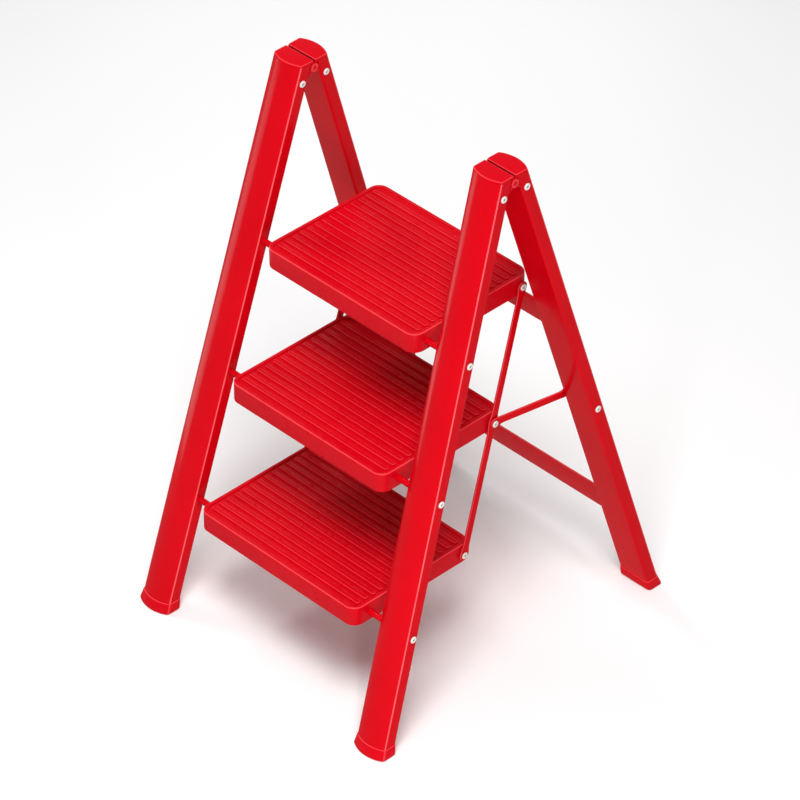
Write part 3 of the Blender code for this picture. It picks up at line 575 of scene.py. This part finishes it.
def revolve(start, direction, profile):
    """Rings of a turned body: circles round an axis at given distances and radii."""
    axis = np.asarray(direction, dtype=np.float64)
    axis = axis / np.linalg.norm(axis)
    first = np.cross(axis, [0.0, 0.6, 0.8])
    first /= np.linalg.norm(first)
    second = np.cross(axis, first)
    turn = np.linspace(0.0, 2 * math.pi, ROUND_STEPS, endpoint=False)
    spokes = np.cos(turn)[:, None] * first + np.sin(turn)[:, None] * second
    profile = np.asarray(profile)
    middle = np.asarray(start) + profile[:, :1] * axis
    return middle[:, None, :] + profile[:, 1][:, None, None] * spokes[None]


def rod_rings(start, end, radius):
    """Rings of a round rod with slightly broken edges."""
    start, end = np.asarray(start, dtype=np.float64), np.asarray(end, dtype=np.float64)
    span = np.linalg.norm(end - start)
    edge = radius * 0.08
    profile = [(0.0, radius - edge), (edge, radius), (span - edge, radius), (span, radius - edge)]
    return revolve(start, end - start, profile)


def pivot_point(index):
    """Middle of a tread's rod."""
    sizes = tread_sizes()
    return Leg(FRONT, RIGHT).middle(sizes.pivot_out, sizes.top_pivot + index * sizes.pitch)


def link_point(index):
    """Middle between a tread's link rivets."""
    return pivot_point(index) + (0.0, fitting_sizes().link_reach, 0.0)


def tread_half(index):
    """Half width of a tread: the legs' inner face less the side gap."""
    gap = tread_sizes().side_gap + tread_sizes().side_gap_growth * index
    return Leg(FRONT, RIGHT).inner_x(pivot_point(index)) - gap


def stay_point():
    """Middle between the stays' rear eyes."""
    return Leg(REAR, RIGHT).middle(fitting_sizes().stay_out, fitting_sizes().stay_down)


def stay_outer():
    """Outboard face of the stays' rear eyes."""
    return Leg(REAR, RIGHT).inner_x(stay_point()) - fitting_sizes().stay_leg_gap


def bar_x(index):
    """Middle plane of the link bar beside a tread."""
    fittings = fitting_sizes()
    return tread_half(index) + fittings.link_gap + fittings.bar_thickness / 2


def bar_tilt():
    """Rise of the link bars' X over their length, because the lower treads are wider."""
    return (bar_x(1) - bar_x(0)) / tread_sizes().pitch


def stay_x():
    """Middle plane of the stays, clear of the tilted link bars along their flat ends."""
    fittings = fitting_sizes()
    return bar_x(1) + fittings.bar_thickness + BAR_PLAY + bar_tilt() * fittings.stay_flat


def bar_rings(start, along, stations, middle_x):
    """Rings of a flat bar: rounded rectangles of varying width carried along a line."""
    wide = np.array([0.0, -along[2], along[1]])
    thick = fitting_sizes().bar_thickness / 2
    rings = []
    for distance, half in stations:
        corners = [(-half, -thick), (half, -thick), (half, thick), (-half, thick)]
        outline = rounded(corners, [min(BAR_EDGE, half * 0.6)] * 4, 3)
        middle = start + along * distance
        middle[0] = middle_x(distance)
        rings.append(middle + outline[:, :1] * wide + outline[:, 1:] * (1.0, 0.0, 0.0))
    return rings


def eye_stations(centres, extra=()):
    """Distances and half widths of a bar with round eyes: circles at its ends, cosine blends."""
    fittings = fitting_sizes()
    eye, half, reach = fittings.eye_radius, fittings.bar_half, fittings.eye_blend
    turn = np.linspace(0.08, 1.0, 12)[:-1] * math.pi / 2
    near = np.stack([centres[0] - eye * np.cos(turn), eye * np.sin(turn)], -1)
    far = np.stack([centres[-1] + eye * np.cos(turn), eye * np.sin(turn)], -1)
    offsets = np.linspace(-reach, reach, 17)
    spots = np.concatenate([(np.asarray(centres)[:, None] + offsets).ravel(), extra])
    spots = np.unique(spots[(spots >= centres[0]) & (spots <= centres[-1])])
    away = np.abs(spots[:, None] - np.asarray(centres)[None]).min(1)
    blend = np.where(away < reach, (1 + np.cos(math.pi * np.minimum(away / reach, 1.0))) / 2, 0.0)
    middle = np.stack([spots, half + (eye - half) * blend], -1)
    return np.concatenate([near, middle, far[::-1]])


class LADDER_OT_legs(bpy.types.Operator):
    """Leg tubes: the D outline carried down each leg, cut level at both ends"""

    bl_idname = "ladder.legs"
    bl_label = "Legs"

    def execute(self, context):
        """Makes the four leg tubes."""
        sizes = frame_sizes()
        top, bottom = sizes.height - sizes.cap_plate - CLEARANCE, sizes.foot_height + CLEARANCE
        profile = [(BROKEN_EDGE, top), (0.0, top - BROKEN_EDGE), (0.0, bottom + BROKEN_EDGE),
                   (BROKEN_EDGE, bottom), (sizes.leg_wall, bottom), (sizes.leg_wall, top)]
        for leg, part, word in four_legs():
            lacquered(part + "_tube_" + word, part + "_leg_" + word, part + "_frame",
                      [tube_ring(leg, height, inset) for inset, height in profile],
                      # Painted highlight along both edges of the tube's rounded front.
                      tube_highlight(), looped=True)
        return {"FINISHED"}


class LADDER_OT_caps(bpy.types.Operator):
    """Caps: a rounded plate on each tube and a lug with interleaved hinge knuckles"""

    bl_idname = "ladder.caps"
    bl_label = "Caps"

    def lug(self, leg, room, neck):
        """Side outline of the lug: its two feet on the leg and an arc of radius room to the neck.

        The arc ends where the line from the neck to the lower foot leaves the circle, which is
        the larger root of a quadratic in the share of that line.
        """
        sizes = frame_sizes()
        top, gap = sizes.height - sizes.cap_plate / 2, sizes.cap_gap
        low = leg.point(0.0, -CLEARANCE, sizes.lug_foot)
        high = leg.at_height(np.array(0.0), -CLEARANCE, top)
        foot = np.array([[leg.depth * low[1], low[2]], [leg.depth * high[1], high[2]]])
        run = foot[0] - neck
        start = neck - np.array([0.0, leg.hinge])
        square, cross, rest = run @ run, start @ run, start @ start - room ** 2
        share = (-cross + math.sqrt(max(cross ** 2 - square * rest, 0.0))) / square if rest < 0.0 else 0.0
        meet = start + run * share
        turn = np.linspace(math.acos(gap / room), math.atan2(meet[1], meet[0]), 24)
        arc = np.stack([room * np.cos(turn), leg.hinge + room * np.sin(turn)], -1)
        return np.concatenate([[(gap, top)], arc, foot])

    def knuckles(self, shell, leg):
        """Wedges and knuckle rings: segments across the lug, which the two caps own in turn."""
        sizes = frame_sizes()
        count, gap, rim, margin = 5, 0.0002, 0.0008, 0.0004
        radius, half = sizes.knuckle_radius, sizes.leg_width / 2 - margin
        neck_angle = math.radians(-68.0)
        neck = np.array([radius * math.cos(neck_angle), leg.hinge + radius * math.sin(neck_angle)])
        middle = np.array([0.0, leg.hinge])
        turn = np.linspace(0.0, 2 * math.pi, 64, endpoint=False)
        circle = np.stack([np.cos(turn), np.sin(turn)], -1)
        outer, inner = middle + circle * radius, middle + circle * (sizes.pin_radius + CLEARANCE)
        plug = middle + circle * (sizes.pin_radius + CLEARANCE + OVERLAP)
        inward, proud, rim = np.array([gap, sizes.knuckle_proud, rim]) / sizes.leg_width

        def side(share, outline):
            """Outline carried to a share of the lug's width."""
            return leg.beside(half * (2 * share - 1), leg.depth * outline[:, 0], outline[:, 1])

        own = 0 if leg.depth == FRONT else 1
        for number in range(count):
            mine, first, last = number % 2 == own, number == 0, number == count - 1
            shift = inward if mine else -inward
            start = 0.0 if first else number / count + shift
            end = 1.0 if last else (number + 1) / count - shift
            outline = self.lug(leg, radius - 2 * OVERLAP if mine else radius + PLAY, neck)
            shell.add([side(start, outline), side(end, outline)])
            if not mine:
                continue
            start -= proud * first
            end += proud * last
            # Painted highlight on the rims of the outer knuckles, which outlines the discs.
            highlight_share = np.array([first, 0.0, 0.0, last, last, first]) * 0.7
            shell.add([side(start, outer), side(start + rim, outer), side(end - rim, outer),
                       side(end, outer), side(end, inner), side(start, inner)],
                      looped=True, worn=highlight_share[:, None])
            if first:
                shell.add([side(start, plug), side(0.0, plug)])
            if last:
                shell.add([side(1.0 - sizes.pin_cover / (2 * half), plug), side(end, plug)])

    def execute(self, context):
        """Makes the four caps."""
        sizes = frame_sizes()
        top, bottom, edge = sizes.height, sizes.height - sizes.cap_plate, sizes.cap_edge
        plug = sizes.leg_wall + CLEARANCE
        profile = profile_arc(edge, top - edge, edge, 90.0, 180.0, 7) + [(0.0, bottom)]
        # Painted highlight along the rounded upper edge of the cap.
        highlight_share = np.concatenate([arch(7), np.zeros(3)])[:, None]
        for leg, part, word in four_legs():
            rings = [cap_ring(leg, height, inset) for inset, height in profile]
            rings += [tube_ring(leg, bottom, plug), tube_ring(leg, bottom - sizes.cap_plug, plug)]
            shell = Shell()
            shell.add(rings, worn=highlight_share)
            self.knuckles(shell, leg)
            shell.finish(part + "_cap_shell_" + word, part + "_cap_" + word, part + "_frame",
                         [red_plastic()], BROKEN_EDGE)
        return {"FINISHED"}


class LADDER_OT_feet(bpy.types.Operator):
    """Boots: the D outline grown a little, flaring level to the floor, with rounded edges"""

    bl_idname = "ladder.feet"
    bl_label = "Feet"

    def execute(self, context):
        """Makes the four boots."""
        sizes = frame_sizes()
        top, soft, wall, lip = sizes.foot_height, sizes.foot_edge, sizes.foot_wall, 0.0005
        plug = sizes.leg_wall + CLEARANCE
        profile = profile_arc(soft - wall - sizes.foot_flare, soft, soft, -90.0, -180.0, 6)
        profile += [(-wall, top - lip), (0.3 * lip - wall, top - 0.3 * lip), (lip - wall, top),
                    (plug, top), (plug, top + sizes.foot_plug)]
        # Painted highlight at the boot's upper lip and, weaker, along the tube's edges.
        highlight_share = np.isin(np.arange(len(profile)), (7, 8)).astype(float)[:, None]
        for leg, part, word in four_legs():
            shell = Shell()
            shell.add([tube_ring(leg, height, inset) for inset, height in profile],
                      worn=np.maximum(highlight_share, tube_highlight() * 0.5))
            shell.finish(part + "_boot_" + word, part + "_foot_" + word, part + "_frame",
                         [red_plastic()])
        return {"FINISHED"}


class LADDER_OT_rods(bpy.types.Operator):
    """Rods from leg to leg that carry the treads, and the stays' pins in the rear legs"""

    bl_idname = "ladder.rods"
    bl_label = "Rods"

    def execute(self, context):
        """Makes three rods and two pins."""
        radius = fitting_sizes().rod_radius
        inside = frame_sizes().leg_width / 2 - frame_sizes().leg_wall
        for index, word in enumerate(TREADS):
            spot = pivot_point(index)
            reach = np.array([Leg(FRONT, RIGHT).side_x(inside, spot) - PLAY, 0.0, 0.0])
            lacquered("rod_" + word, "pivot_rod_" + word, "front_frame",
                      rod_rings(spot - reach, spot + reach, radius))
        spot = stay_point()
        for side, word in SIDES:
            wall = Leg(REAR, side).side_x(inside, spot)
            start = spot + (side * (stay_outer() + PLAY), 0.0, 0.0)
            end = spot + (wall - side * PLAY, 0.0, 0.0)
            lacquered("rear_pin_" + word, "stay_pin_" + word, "rear_frame", rod_rings(start, end, radius))
        return {"FINISHED"}


class LADDER_OT_treads(bpy.types.Operator):
    """Treads: a rounded pan with rim, recess and ribs, and webs, sleeve and bosses below"""

    bl_idname = "ladder.treads"
    bl_label = "Treads"

    def front(self, index):
        """Front edge of a tread, measured back from its rod."""
        sizes = tread_sizes()
        return -(sizes.overhang_top, sizes.overhang_middle, sizes.overhang_bottom)[index]

    def plan(self, index, inset, height):
        """Plan outline at an inset: a rectangle whose corner radius shrinks with the inset."""
        sizes = tread_sizes()
        half = tread_half(index) - inset
        front, back = self.front(index) + inset, sizes.reach - inset
        corner = max(sizes.corner - inset, sizes.corner / 5)
        outline = rounded([(-half, front), (half, front), (half, back), (-half, back)], [corner] * 4, 12)
        lift = np.full((len(outline), 1), height)
        return pivot_point(index) + np.concatenate([outline, lift], 1)

    def pan(self, index):
        """Rings of the pan: inner wall, lower lip, outer wall, quarter-round edge, rim, recess."""
        sizes = tread_sizes()
        floor, under = sizes.rise - sizes.recess, sizes.rise - sizes.recess - sizes.plate
        wall, bottom, rise = sizes.wall, -sizes.skirt, sizes.rise
        fillet, lip, soft, edge = 0.0010, 0.0010, 0.0006, sizes.edge
        profile = [(wall + fillet, under), (wall + 0.4 * fillet, under - 0.8 * fillet),
                   (wall, bottom + 0.4 * lip), (wall - 0.4 * lip, bottom), (0.8 * lip, bottom),
                   (0.2 * lip, bottom + 0.3 * lip), (0.0, bottom + lip)]
        profile += profile_arc(edge, rise - edge, edge, 180.0, 90.0, 9)
        profile += profile_arc(sizes.rim - soft, rise - soft, soft, 90.0, 0.0, 5)
        profile += profile_arc(sizes.rim + soft, floor + soft, soft, 180.0, 270.0, 5)
        return [self.plan(index, inset, height) for inset, height in profile]

    def rib(self, centre, half, floor):
        """Rings of a rib: stadium outlines, sunk at the foot, with a quarter-round upper edge."""
        sizes = tread_sizes()
        top, sunk, soft = sizes.recess - 0.0002, 0.0004, sizes.rib_edge
        base, crest = sizes.rib_width / 2, sizes.rib_top / 2
        profile = [(base, -sunk), (base, 0.0)] + profile_arc(crest - soft, top - soft, soft, 0.0, 90.0, 6)
        radius, lift = np.array(profile).T[:, :, None]
        turn = np.linspace(-math.pi / 2, math.pi / 2, 9)
        right = np.stack([half - base + radius * np.cos(turn), radius * np.sin(turn)], -1)
        outline = np.concatenate([right, -right], 1)
        lifted = np.broadcast_to(floor + lift, outline.shape[:2])
        return centre + np.concatenate([outline, lifted[..., None]], -1)

    def ribs(self, shell, index):
        """Ribs spread evenly between the margins at both edges."""
        sizes = tread_sizes()
        first = self.front(index) + sizes.rib_margin
        room = sizes.reach - sizes.rib_margin - first
        gaps = round(room / sizes.rib_pitch)
        half = tread_half(index) - sizes.rib_end
        # Painted highlight along the rounded upper edges of the ribs.
        highlight_share = np.concatenate([np.zeros(2), arch(6)])[:, None]
        for number in range(gaps + 1):
            middle = pivot_point(index) + (0.0, first + room * number / gaps, 0.0)
            shell.add(self.rib(middle, half, sizes.rise - sizes.recess), worn=highlight_share)

    def wall(self, low, high):
        """Rings of an upright web between two corners."""
        outline = np.array([(low[0], low[1]), (high[0], low[1]), (high[0], high[1]), (low[0], high[1])])
        return [np.concatenate([outline, np.full((4, 1), z)], 1) for z in (low[2], high[2])]

    def webs(self, shell, index):
        """Webs both ways that cross each other; they end at two heights and share no plane."""
        sizes, centre = tread_sizes(), pivot_point(index)
        inner = tread_half(index) - sizes.wall
        front, back = self.front(index) + sizes.wall, sizes.reach - sizes.wall
        columns, rows, web, lift = 4, 3, sizes.web, 0.0002
        wide = (2 * inner - (columns - 1) * web) / columns
        deep = (back - front - (rows - 1) * web) / rows
        low, high = lift - sizes.skirt, sizes.rise - sizes.recess - sizes.plate + OVERLAP
        for number in range(1, columns):
            x = -inner + number * wide + (number - 1) * web
            shell.add(self.wall(centre + (x, front - OVERLAP, low),
                                centre + (x + web, back + OVERLAP, high)))
        for number in range(1, rows):
            y = front + number * deep + (number - 1) * web
            shell.add(self.wall(centre + (-inner - OVERLAP, y, low + lift / 2),
                                centre + (inner + OVERLAP, y + web, high)))

    def sockets(self, shell, index):
        """Sleeve round the rod and a boss at each link rivet."""
        sizes, fittings = tread_sizes(), fitting_sizes()
        centre, half = pivot_point(index), tread_half(index)
        reach = np.array([half - sizes.wall + OVERLAP, 0.0, 0.0])
        shell.add(rod_rings(centre - reach, centre + reach, fittings.rod_radius + sizes.sleeve_wall))
        for side in (LEFT, RIGHT):
            start = link_point(index) + (side * (half - sizes.boss_depth), 0.0, 0.0)
            end = link_point(index) + (side * (half + fittings.link_gap - BAR_PLAY), 0.0, 0.0)
            shell.add(rod_rings(start, end, sizes.boss_radius))

    def execute(self, context):
        """Makes the three treads."""
        # Painted highlight along the tread's upper edge and, weaker, round the rim of the recess.
        highlight_share = np.concatenate([np.zeros(7), arch(9), arch(5) * 0.7, np.zeros(5)])[:, None]
        for index, word in enumerate(TREADS):
            shell = Shell()
            shell.add(self.pan(index), worn=highlight_share)
            self.ribs(shell, index)
            self.webs(shell, index)
            self.sockets(shell, index)
            shell.finish("tread_" + word, "step_" + word, "tread_" + word, [red_plastic()])
        return {"FINISHED"}


class LADDER_OT_link_bars(bpy.types.Operator):
    """Link bars: flat bars that widen to round eyes at all three treads"""

    bl_idname = "ladder.link_bars"
    bl_label = "Link Bars"

    def execute(self, context):
        """Makes the two link bars."""
        start = link_point(0)
        span = link_point(2) - start
        reach = np.linalg.norm(span)
        slope = (bar_x(2) - bar_x(0)) / reach
        stations = eye_stations([0.0, reach / 2, reach])
        for side, word in SIDES:
            lacquered("link_bar_" + word, "link_" + word, "link_bar_" + word,
                      bar_rings(start, span / reach, stations, lambda d: side * (bar_x(0) + slope * d)),
                      # Painted highlight along the bar's four rounded edges.
                      np.tile(arch(4), 4))
        return {"FINISHED"}


class LADDER_OT_stays(bpy.types.Operator):
    """Stays: flat bars from the middle tread to the rear legs, bent outwards between their eyes"""

    bl_idname = "ladder.stays"
    bl_label = "Stays"

    def execute(self, context):
        """Makes the two stays; their offset follows a smooth step along the bar."""
        fittings = fitting_sizes()
        start = link_point(1)
        span = stay_point() - start
        reach = np.linalg.norm(span)
        flat, bend = fittings.stay_flat, 0.004
        rear = stay_outer() - fittings.bar_thickness / 2
        bends = np.concatenate([np.linspace(spot - bend, spot + bend, 7) for spot in (flat, reach - flat)])
        stations = eye_stations([0.0, reach], bends)

        def softened(distance):
            """Ramp from 0 to 1, averaged over the length of a bend, which rounds its corners."""
            spots = distance + np.linspace(-bend, bend, 9)
            return np.clip((spots - flat) / (reach - 2 * flat), 0.0, 1.0).mean()

        for side, word in SIDES:
            lacquered("stay_arm_" + word, "stay_" + word, "stay_bar_" + word,
                      bar_rings(start, span / reach, stations,
                                lambda d: side * (stay_x() + (rear - stay_x()) * softened(d))),
                      # Painted highlight along the bar's four rounded edges.
                      np.tile(arch(4), 4))
        return {"FINISHED"}


class LADDER_OT_crossbars(bpy.types.Operator):
    """Crossbars: flat bars with softened edges between the rear legs' inner faces"""

    bl_idname = "ladder.crossbars"
    bl_label = "Crossbars"

    def execute(self, context):
        """Makes the two crossbars."""
        sizes = frame_sizes()
        for word, down in zip(CROSSBARS, (sizes.crossbar_upper, sizes.crossbar_lower)):
            near, far = sizes.crossbar_near, sizes.crossbar_near + sizes.crossbar_depth
            bottom = down + sizes.crossbar_height
            outline = rounded([(near, down), (far, down), (far, bottom), (near, bottom)], [BAR_EDGE] * 4, 5)
            lacquered("rear_bar_" + word, "crossbar_" + word, "rear_frame",
                      [Leg(REAR, side).point(-sizes.leg_width / 2 - CLEARANCE, outline[:, 0], outline[:, 1])
                       # Painted highlight along the bar's four rounded edges.
                       for side in (LEFT, RIGHT)], np.tile(arch(6), 4))
        return {"FINISHED"}


class LADDER_OT_rivets(bpy.types.Operator):
    """Rivets: turned heads with a soft dome, a rolled rim and a steel stub in the open middle"""

    bl_idname = "ladder.rivets"
    bl_label = "Rivets"

    def rivet(self, node, body, seat, direction, deep):
        """One rivet, turned round its axis; the profile runs from the stub over the dome to the shank."""
        sizes = fitting_sizes()
        radius, rise, hole = sizes.rivet_radius, sizes.rivet_rise, sizes.rivet_hole
        turn = np.linspace(math.radians(80.0), 0.0, 9)
        crown = np.stack([-rise * (0.25 + 0.75 * np.sin(turn) / math.sin(turn[0])),
                          hole * 1.5 + (radius - hole * 1.5) * np.cos(turn) ** 0.8], -1)
        stub = [(-rise * 0.52, 0.0002), (-rise * 0.50, hole * 0.80), (-rise * 0.40, hole * 0.97)]
        lip = [(-rise * 0.42, hole), (-rise * 0.88, hole * 1.03), (-rise * 0.97, hole * 1.15)]
        foot = [(-rise * 0.10, radius), (0.0, radius * 0.97), (0.0, hole * 1.6), (deep, hole * 1.6)]
        profile = np.concatenate([stub, lip, crown, foot])
        bands = np.zeros(len(profile) - 1, dtype=int)
        bands[:2] = 1
        shell = Shell()
        shell.add(revolve(seat, direction, profile), kinds=bands, end_kinds=(1, 0))
        shell.finish(node.replace("rivet", "fastener"), node, body,
                     [rivet_white(), rivet_mandrel()])

    def side_seat(self, leg, spot):
        """Seat of a head on the outboard face of a leg."""
        face = leg.side_x(frame_sizes().leg_width / 2, spot)
        margin = CLEARANCE + fitting_sizes().rivet_radius * math.tan(frame_sizes().splay)
        return spot + (face + leg.side * margin, 0.0, 0.0)

    def execute(self, context):
        """Makes all rivets."""
        sizes, fittings = frame_sizes(), fitting_sizes()
        thick, past = fittings.bar_thickness, sizes.leg_width / 2 + CLEARANCE
        for leg, part, word in four_legs():
            for way, face in ((-1, "inner"), (1, "outer")):
                seat = leg.point(way * past, fittings.cap_rivet_out, fittings.cap_rivet_down)
                self.rivet(part + "_cap_rivet_" + word + "_" + face, part + "_frame", seat,
                           -way * leg.across, fittings.leg_shank)
        for side, word in SIDES:
            inwards = (-side, 0.0, 0.0)
            for index, tread in enumerate(TREADS):
                self.rivet("pivot_rivet_" + tread + "_" + word, "front_frame",
                           self.side_seat(Leg(FRONT, side), pivot_point(index)), inwards,
                           fittings.leg_shank)
                outer = stay_x() if index == 1 else bar_x(index)
                face = outer + thick / 2 + CLEARANCE + fittings.rivet_radius * bar_tilt()
                self.rivet("link_rivet_" + tread + "_" + word, "tread_" + tread,
                           link_point(index) + (side * face, 0.0, 0.0), inwards, fittings.link_shank)
            self.rivet("stay_pin_rivet_" + word, "rear_frame",
                       self.side_seat(Leg(REAR, side), stay_point()), inwards, fittings.leg_shank)
            seat = stay_point() + (side * (stay_outer() - thick - CLEARANCE), 0.0, 0.0)
            self.rivet("stay_eye_rivet_" + word, "stay_bar_" + word, seat, (side, 0.0, 0.0),
                       fittings.stay_shank)
        return {"FINISHED"}


class LADDER_OT_hinge_pins(bpy.types.Operator):
    """Hinge pins: coated red with the frame"""

    bl_idname = "ladder.hinge_pins"
    bl_label = "Hinge Pins"

    def execute(self, context):
        """Gives the pins their finish."""
        for side, word in SIDES:
            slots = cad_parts["hinge_pin_" + word].data.materials
            slots.clear()
            slots.append(red_lacquer())
        return {"FINISHED"}


class LADDER_OT_stage(bpy.types.Operator):
    """Stage: pale floor, soft studio light and the camera"""

    bl_idname = "ladder.stage"
    bl_label = "Stage"

    def put(self, name, data):
        """A new object in the scene."""
        made = bpy.data.objects.new(name, data)
        bpy.context.scene.collection.objects.link(made)
        return made

    def floor(self):
        """Pale matt floor, kept out of the ladder's reflections."""
        mesh = bpy.data.meshes.new("floor")
        reach, level = 14.0, -0.0006
        corners = [(x * reach, y * reach, level) for x, y in ((-1, -1), (1, -1), (1, 1), (-1, 1))]
        mesh.from_pydata(corners, [], [(0, 1, 2, 3)])
        pale = bpy.data.materials.new("pale_floor")
        pale.use_nodes = True
        shader = pale.node_tree.nodes["Principled BSDF"]
        shader.inputs["Base Color"].default_value = (*finishes().floor, 1.0)
        shader.inputs["Roughness"].default_value = 0.9
        shader.inputs["Specular IOR Level"].default_value = 0.1
        mesh.materials.append(pale)
        made = self.put("floor", mesh)
        made.visible_glossy = False

    def world(self, scene):
        """White surroundings of low strength."""
        scene.world = scene.world or bpy.data.worlds.new("studio")
        scene.world.use_nodes = True
        background = scene.world.node_tree.nodes.get("Background")
        background.inputs["Color"].default_value = (1.0, 1.0, 1.0, 1.0)
        background.inputs["Strength"].default_value = 0.25

    def light(self, name, place, target, size, power):
        """A soft rectangular light that faces a point and isn't seen itself."""
        lamp = bpy.data.lights.new(name, "AREA")
        lamp.shape = "RECTANGLE"
        lamp.size, lamp.size_y = size
        lamp.energy = power
        made = self.put(name, lamp)
        made.location = place
        made.visible_camera = False
        made.rotation_euler = (Vector(target) - Vector(place)).to_track_quat("-Z", "Y").to_euler()

    def camera(self, scene):
        """The photo's camera: it looks back along azimuth and elevation and is rolled a little."""
        back = Vector((math.sin(CAMERA_AZIMUTH) * math.cos(CAMERA_ELEVATION),
                       -math.cos(CAMERA_AZIMUTH) * math.cos(CAMERA_ELEVATION), math.sin(CAMERA_ELEVATION)))
        level = (-back).cross(Vector((0.0, 0.0, 1.0))).normalized()
        upright = level.cross(-back)
        right = math.cos(CAMERA_ROLL) * level + math.sin(CAMERA_ROLL) * upright
        up = math.cos(CAMERA_ROLL) * upright - math.sin(CAMERA_ROLL) * level
        data = bpy.data.cameras.new("camera")
        data.sensor_width = 36.0
        data.lens = CAMERA_FOCAL / PICTURE * data.sensor_width
        data.shift_x = 0.5 - CAMERA_CENTRE[0] / PICTURE
        data.shift_y = CAMERA_CENTRE[1] / PICTURE - 0.5
        data.clip_end = 60.0
        scene.camera = self.put("camera", data)
        turned = Matrix((right, up, back)).transposed().to_4x4()
        scene.camera.matrix_world = Matrix.Translation(CAMERA_PLACE) @ turned

    def execute(self, context):
        """Makes floor, world, lights and camera."""
        self.floor()
        self.world(context.scene)
        for name, settings in LAMPS.items():
            self.light(name, *settings)
        self.camera(context.scene)
        context.scene.view_settings.view_transform = "Standard"
        return {"FINISHED"}


class LADDER_PT_panel(bpy.types.Panel):
    """Sidebar panel with the sizes and the build steps"""

    bl_idname = "LADDER_PT_panel"
    bl_label = "Step Ladder"
    bl_space_type = "VIEW_3D"
    bl_region_type = "UI"
    bl_category = "Ladder"

    def draw(self, context):
        """Lists the sizes and the operators."""
        scene = context.scene
        for title, group in (("Frame", scene.ladder_frame), ("Treads", scene.ladder_treads),
                             ("Fittings", scene.ladder_fittings), ("Finishes", scene.ladder_finishes)):
            box = self.layout.box()
            box.label(text=title)
            for key in group.bl_rna.properties.keys():
                if key not in {"rna_type", "name"}:
                    box.prop(group, key)
        for operator in OPERATORS:
            self.layout.operator(operator.bl_idname)


GROUPS = (
    ("ladder_frame", LadderFrameSizes),
    ("ladder_treads", LadderTreadSizes),
    ("ladder_fittings", LadderFittingSizes),
    ("ladder_finishes", LadderFinishes),
)
OPERATORS = (
    LADDER_OT_legs,
    LADDER_OT_caps,
    LADDER_OT_feet,
    LADDER_OT_rods,
    LADDER_OT_treads,
    LADDER_OT_link_bars,
    LADDER_OT_stays,
    LADDER_OT_crossbars,
    LADDER_OT_rivets,
    LADDER_OT_hinge_pins,
    LADDER_OT_stage,
)


def register():
    """Registers the groups, operators and panel."""
    for name, group in GROUPS:
        bpy.utils.register_class(group)
        setattr(bpy.types.Scene, name, bpy.props.PointerProperty(type=group))
    for operator in OPERATORS:
        bpy.utils.register_class(operator)
    bpy.utils.register_class(LADDER_PT_panel)


def unregister():
    """Removes the panel, operators and groups."""
    bpy.utils.unregister_class(LADDER_PT_panel)
    for operator in reversed(OPERATORS):
        bpy.utils.unregister_class(operator)
    for name, group in reversed(GROUPS):
        delattr(bpy.types.Scene, name)
        bpy.utils.unregister_class(group)


def main():
    """Builds every piece and the stage."""
    register()
    for operator in OPERATORS:
        area, name = operator.bl_idname.split(".")
        getattr(getattr(bpy.ops, area), name)()
    bpy.context.view_layer.update()


if __name__ == "__main__":
    main()
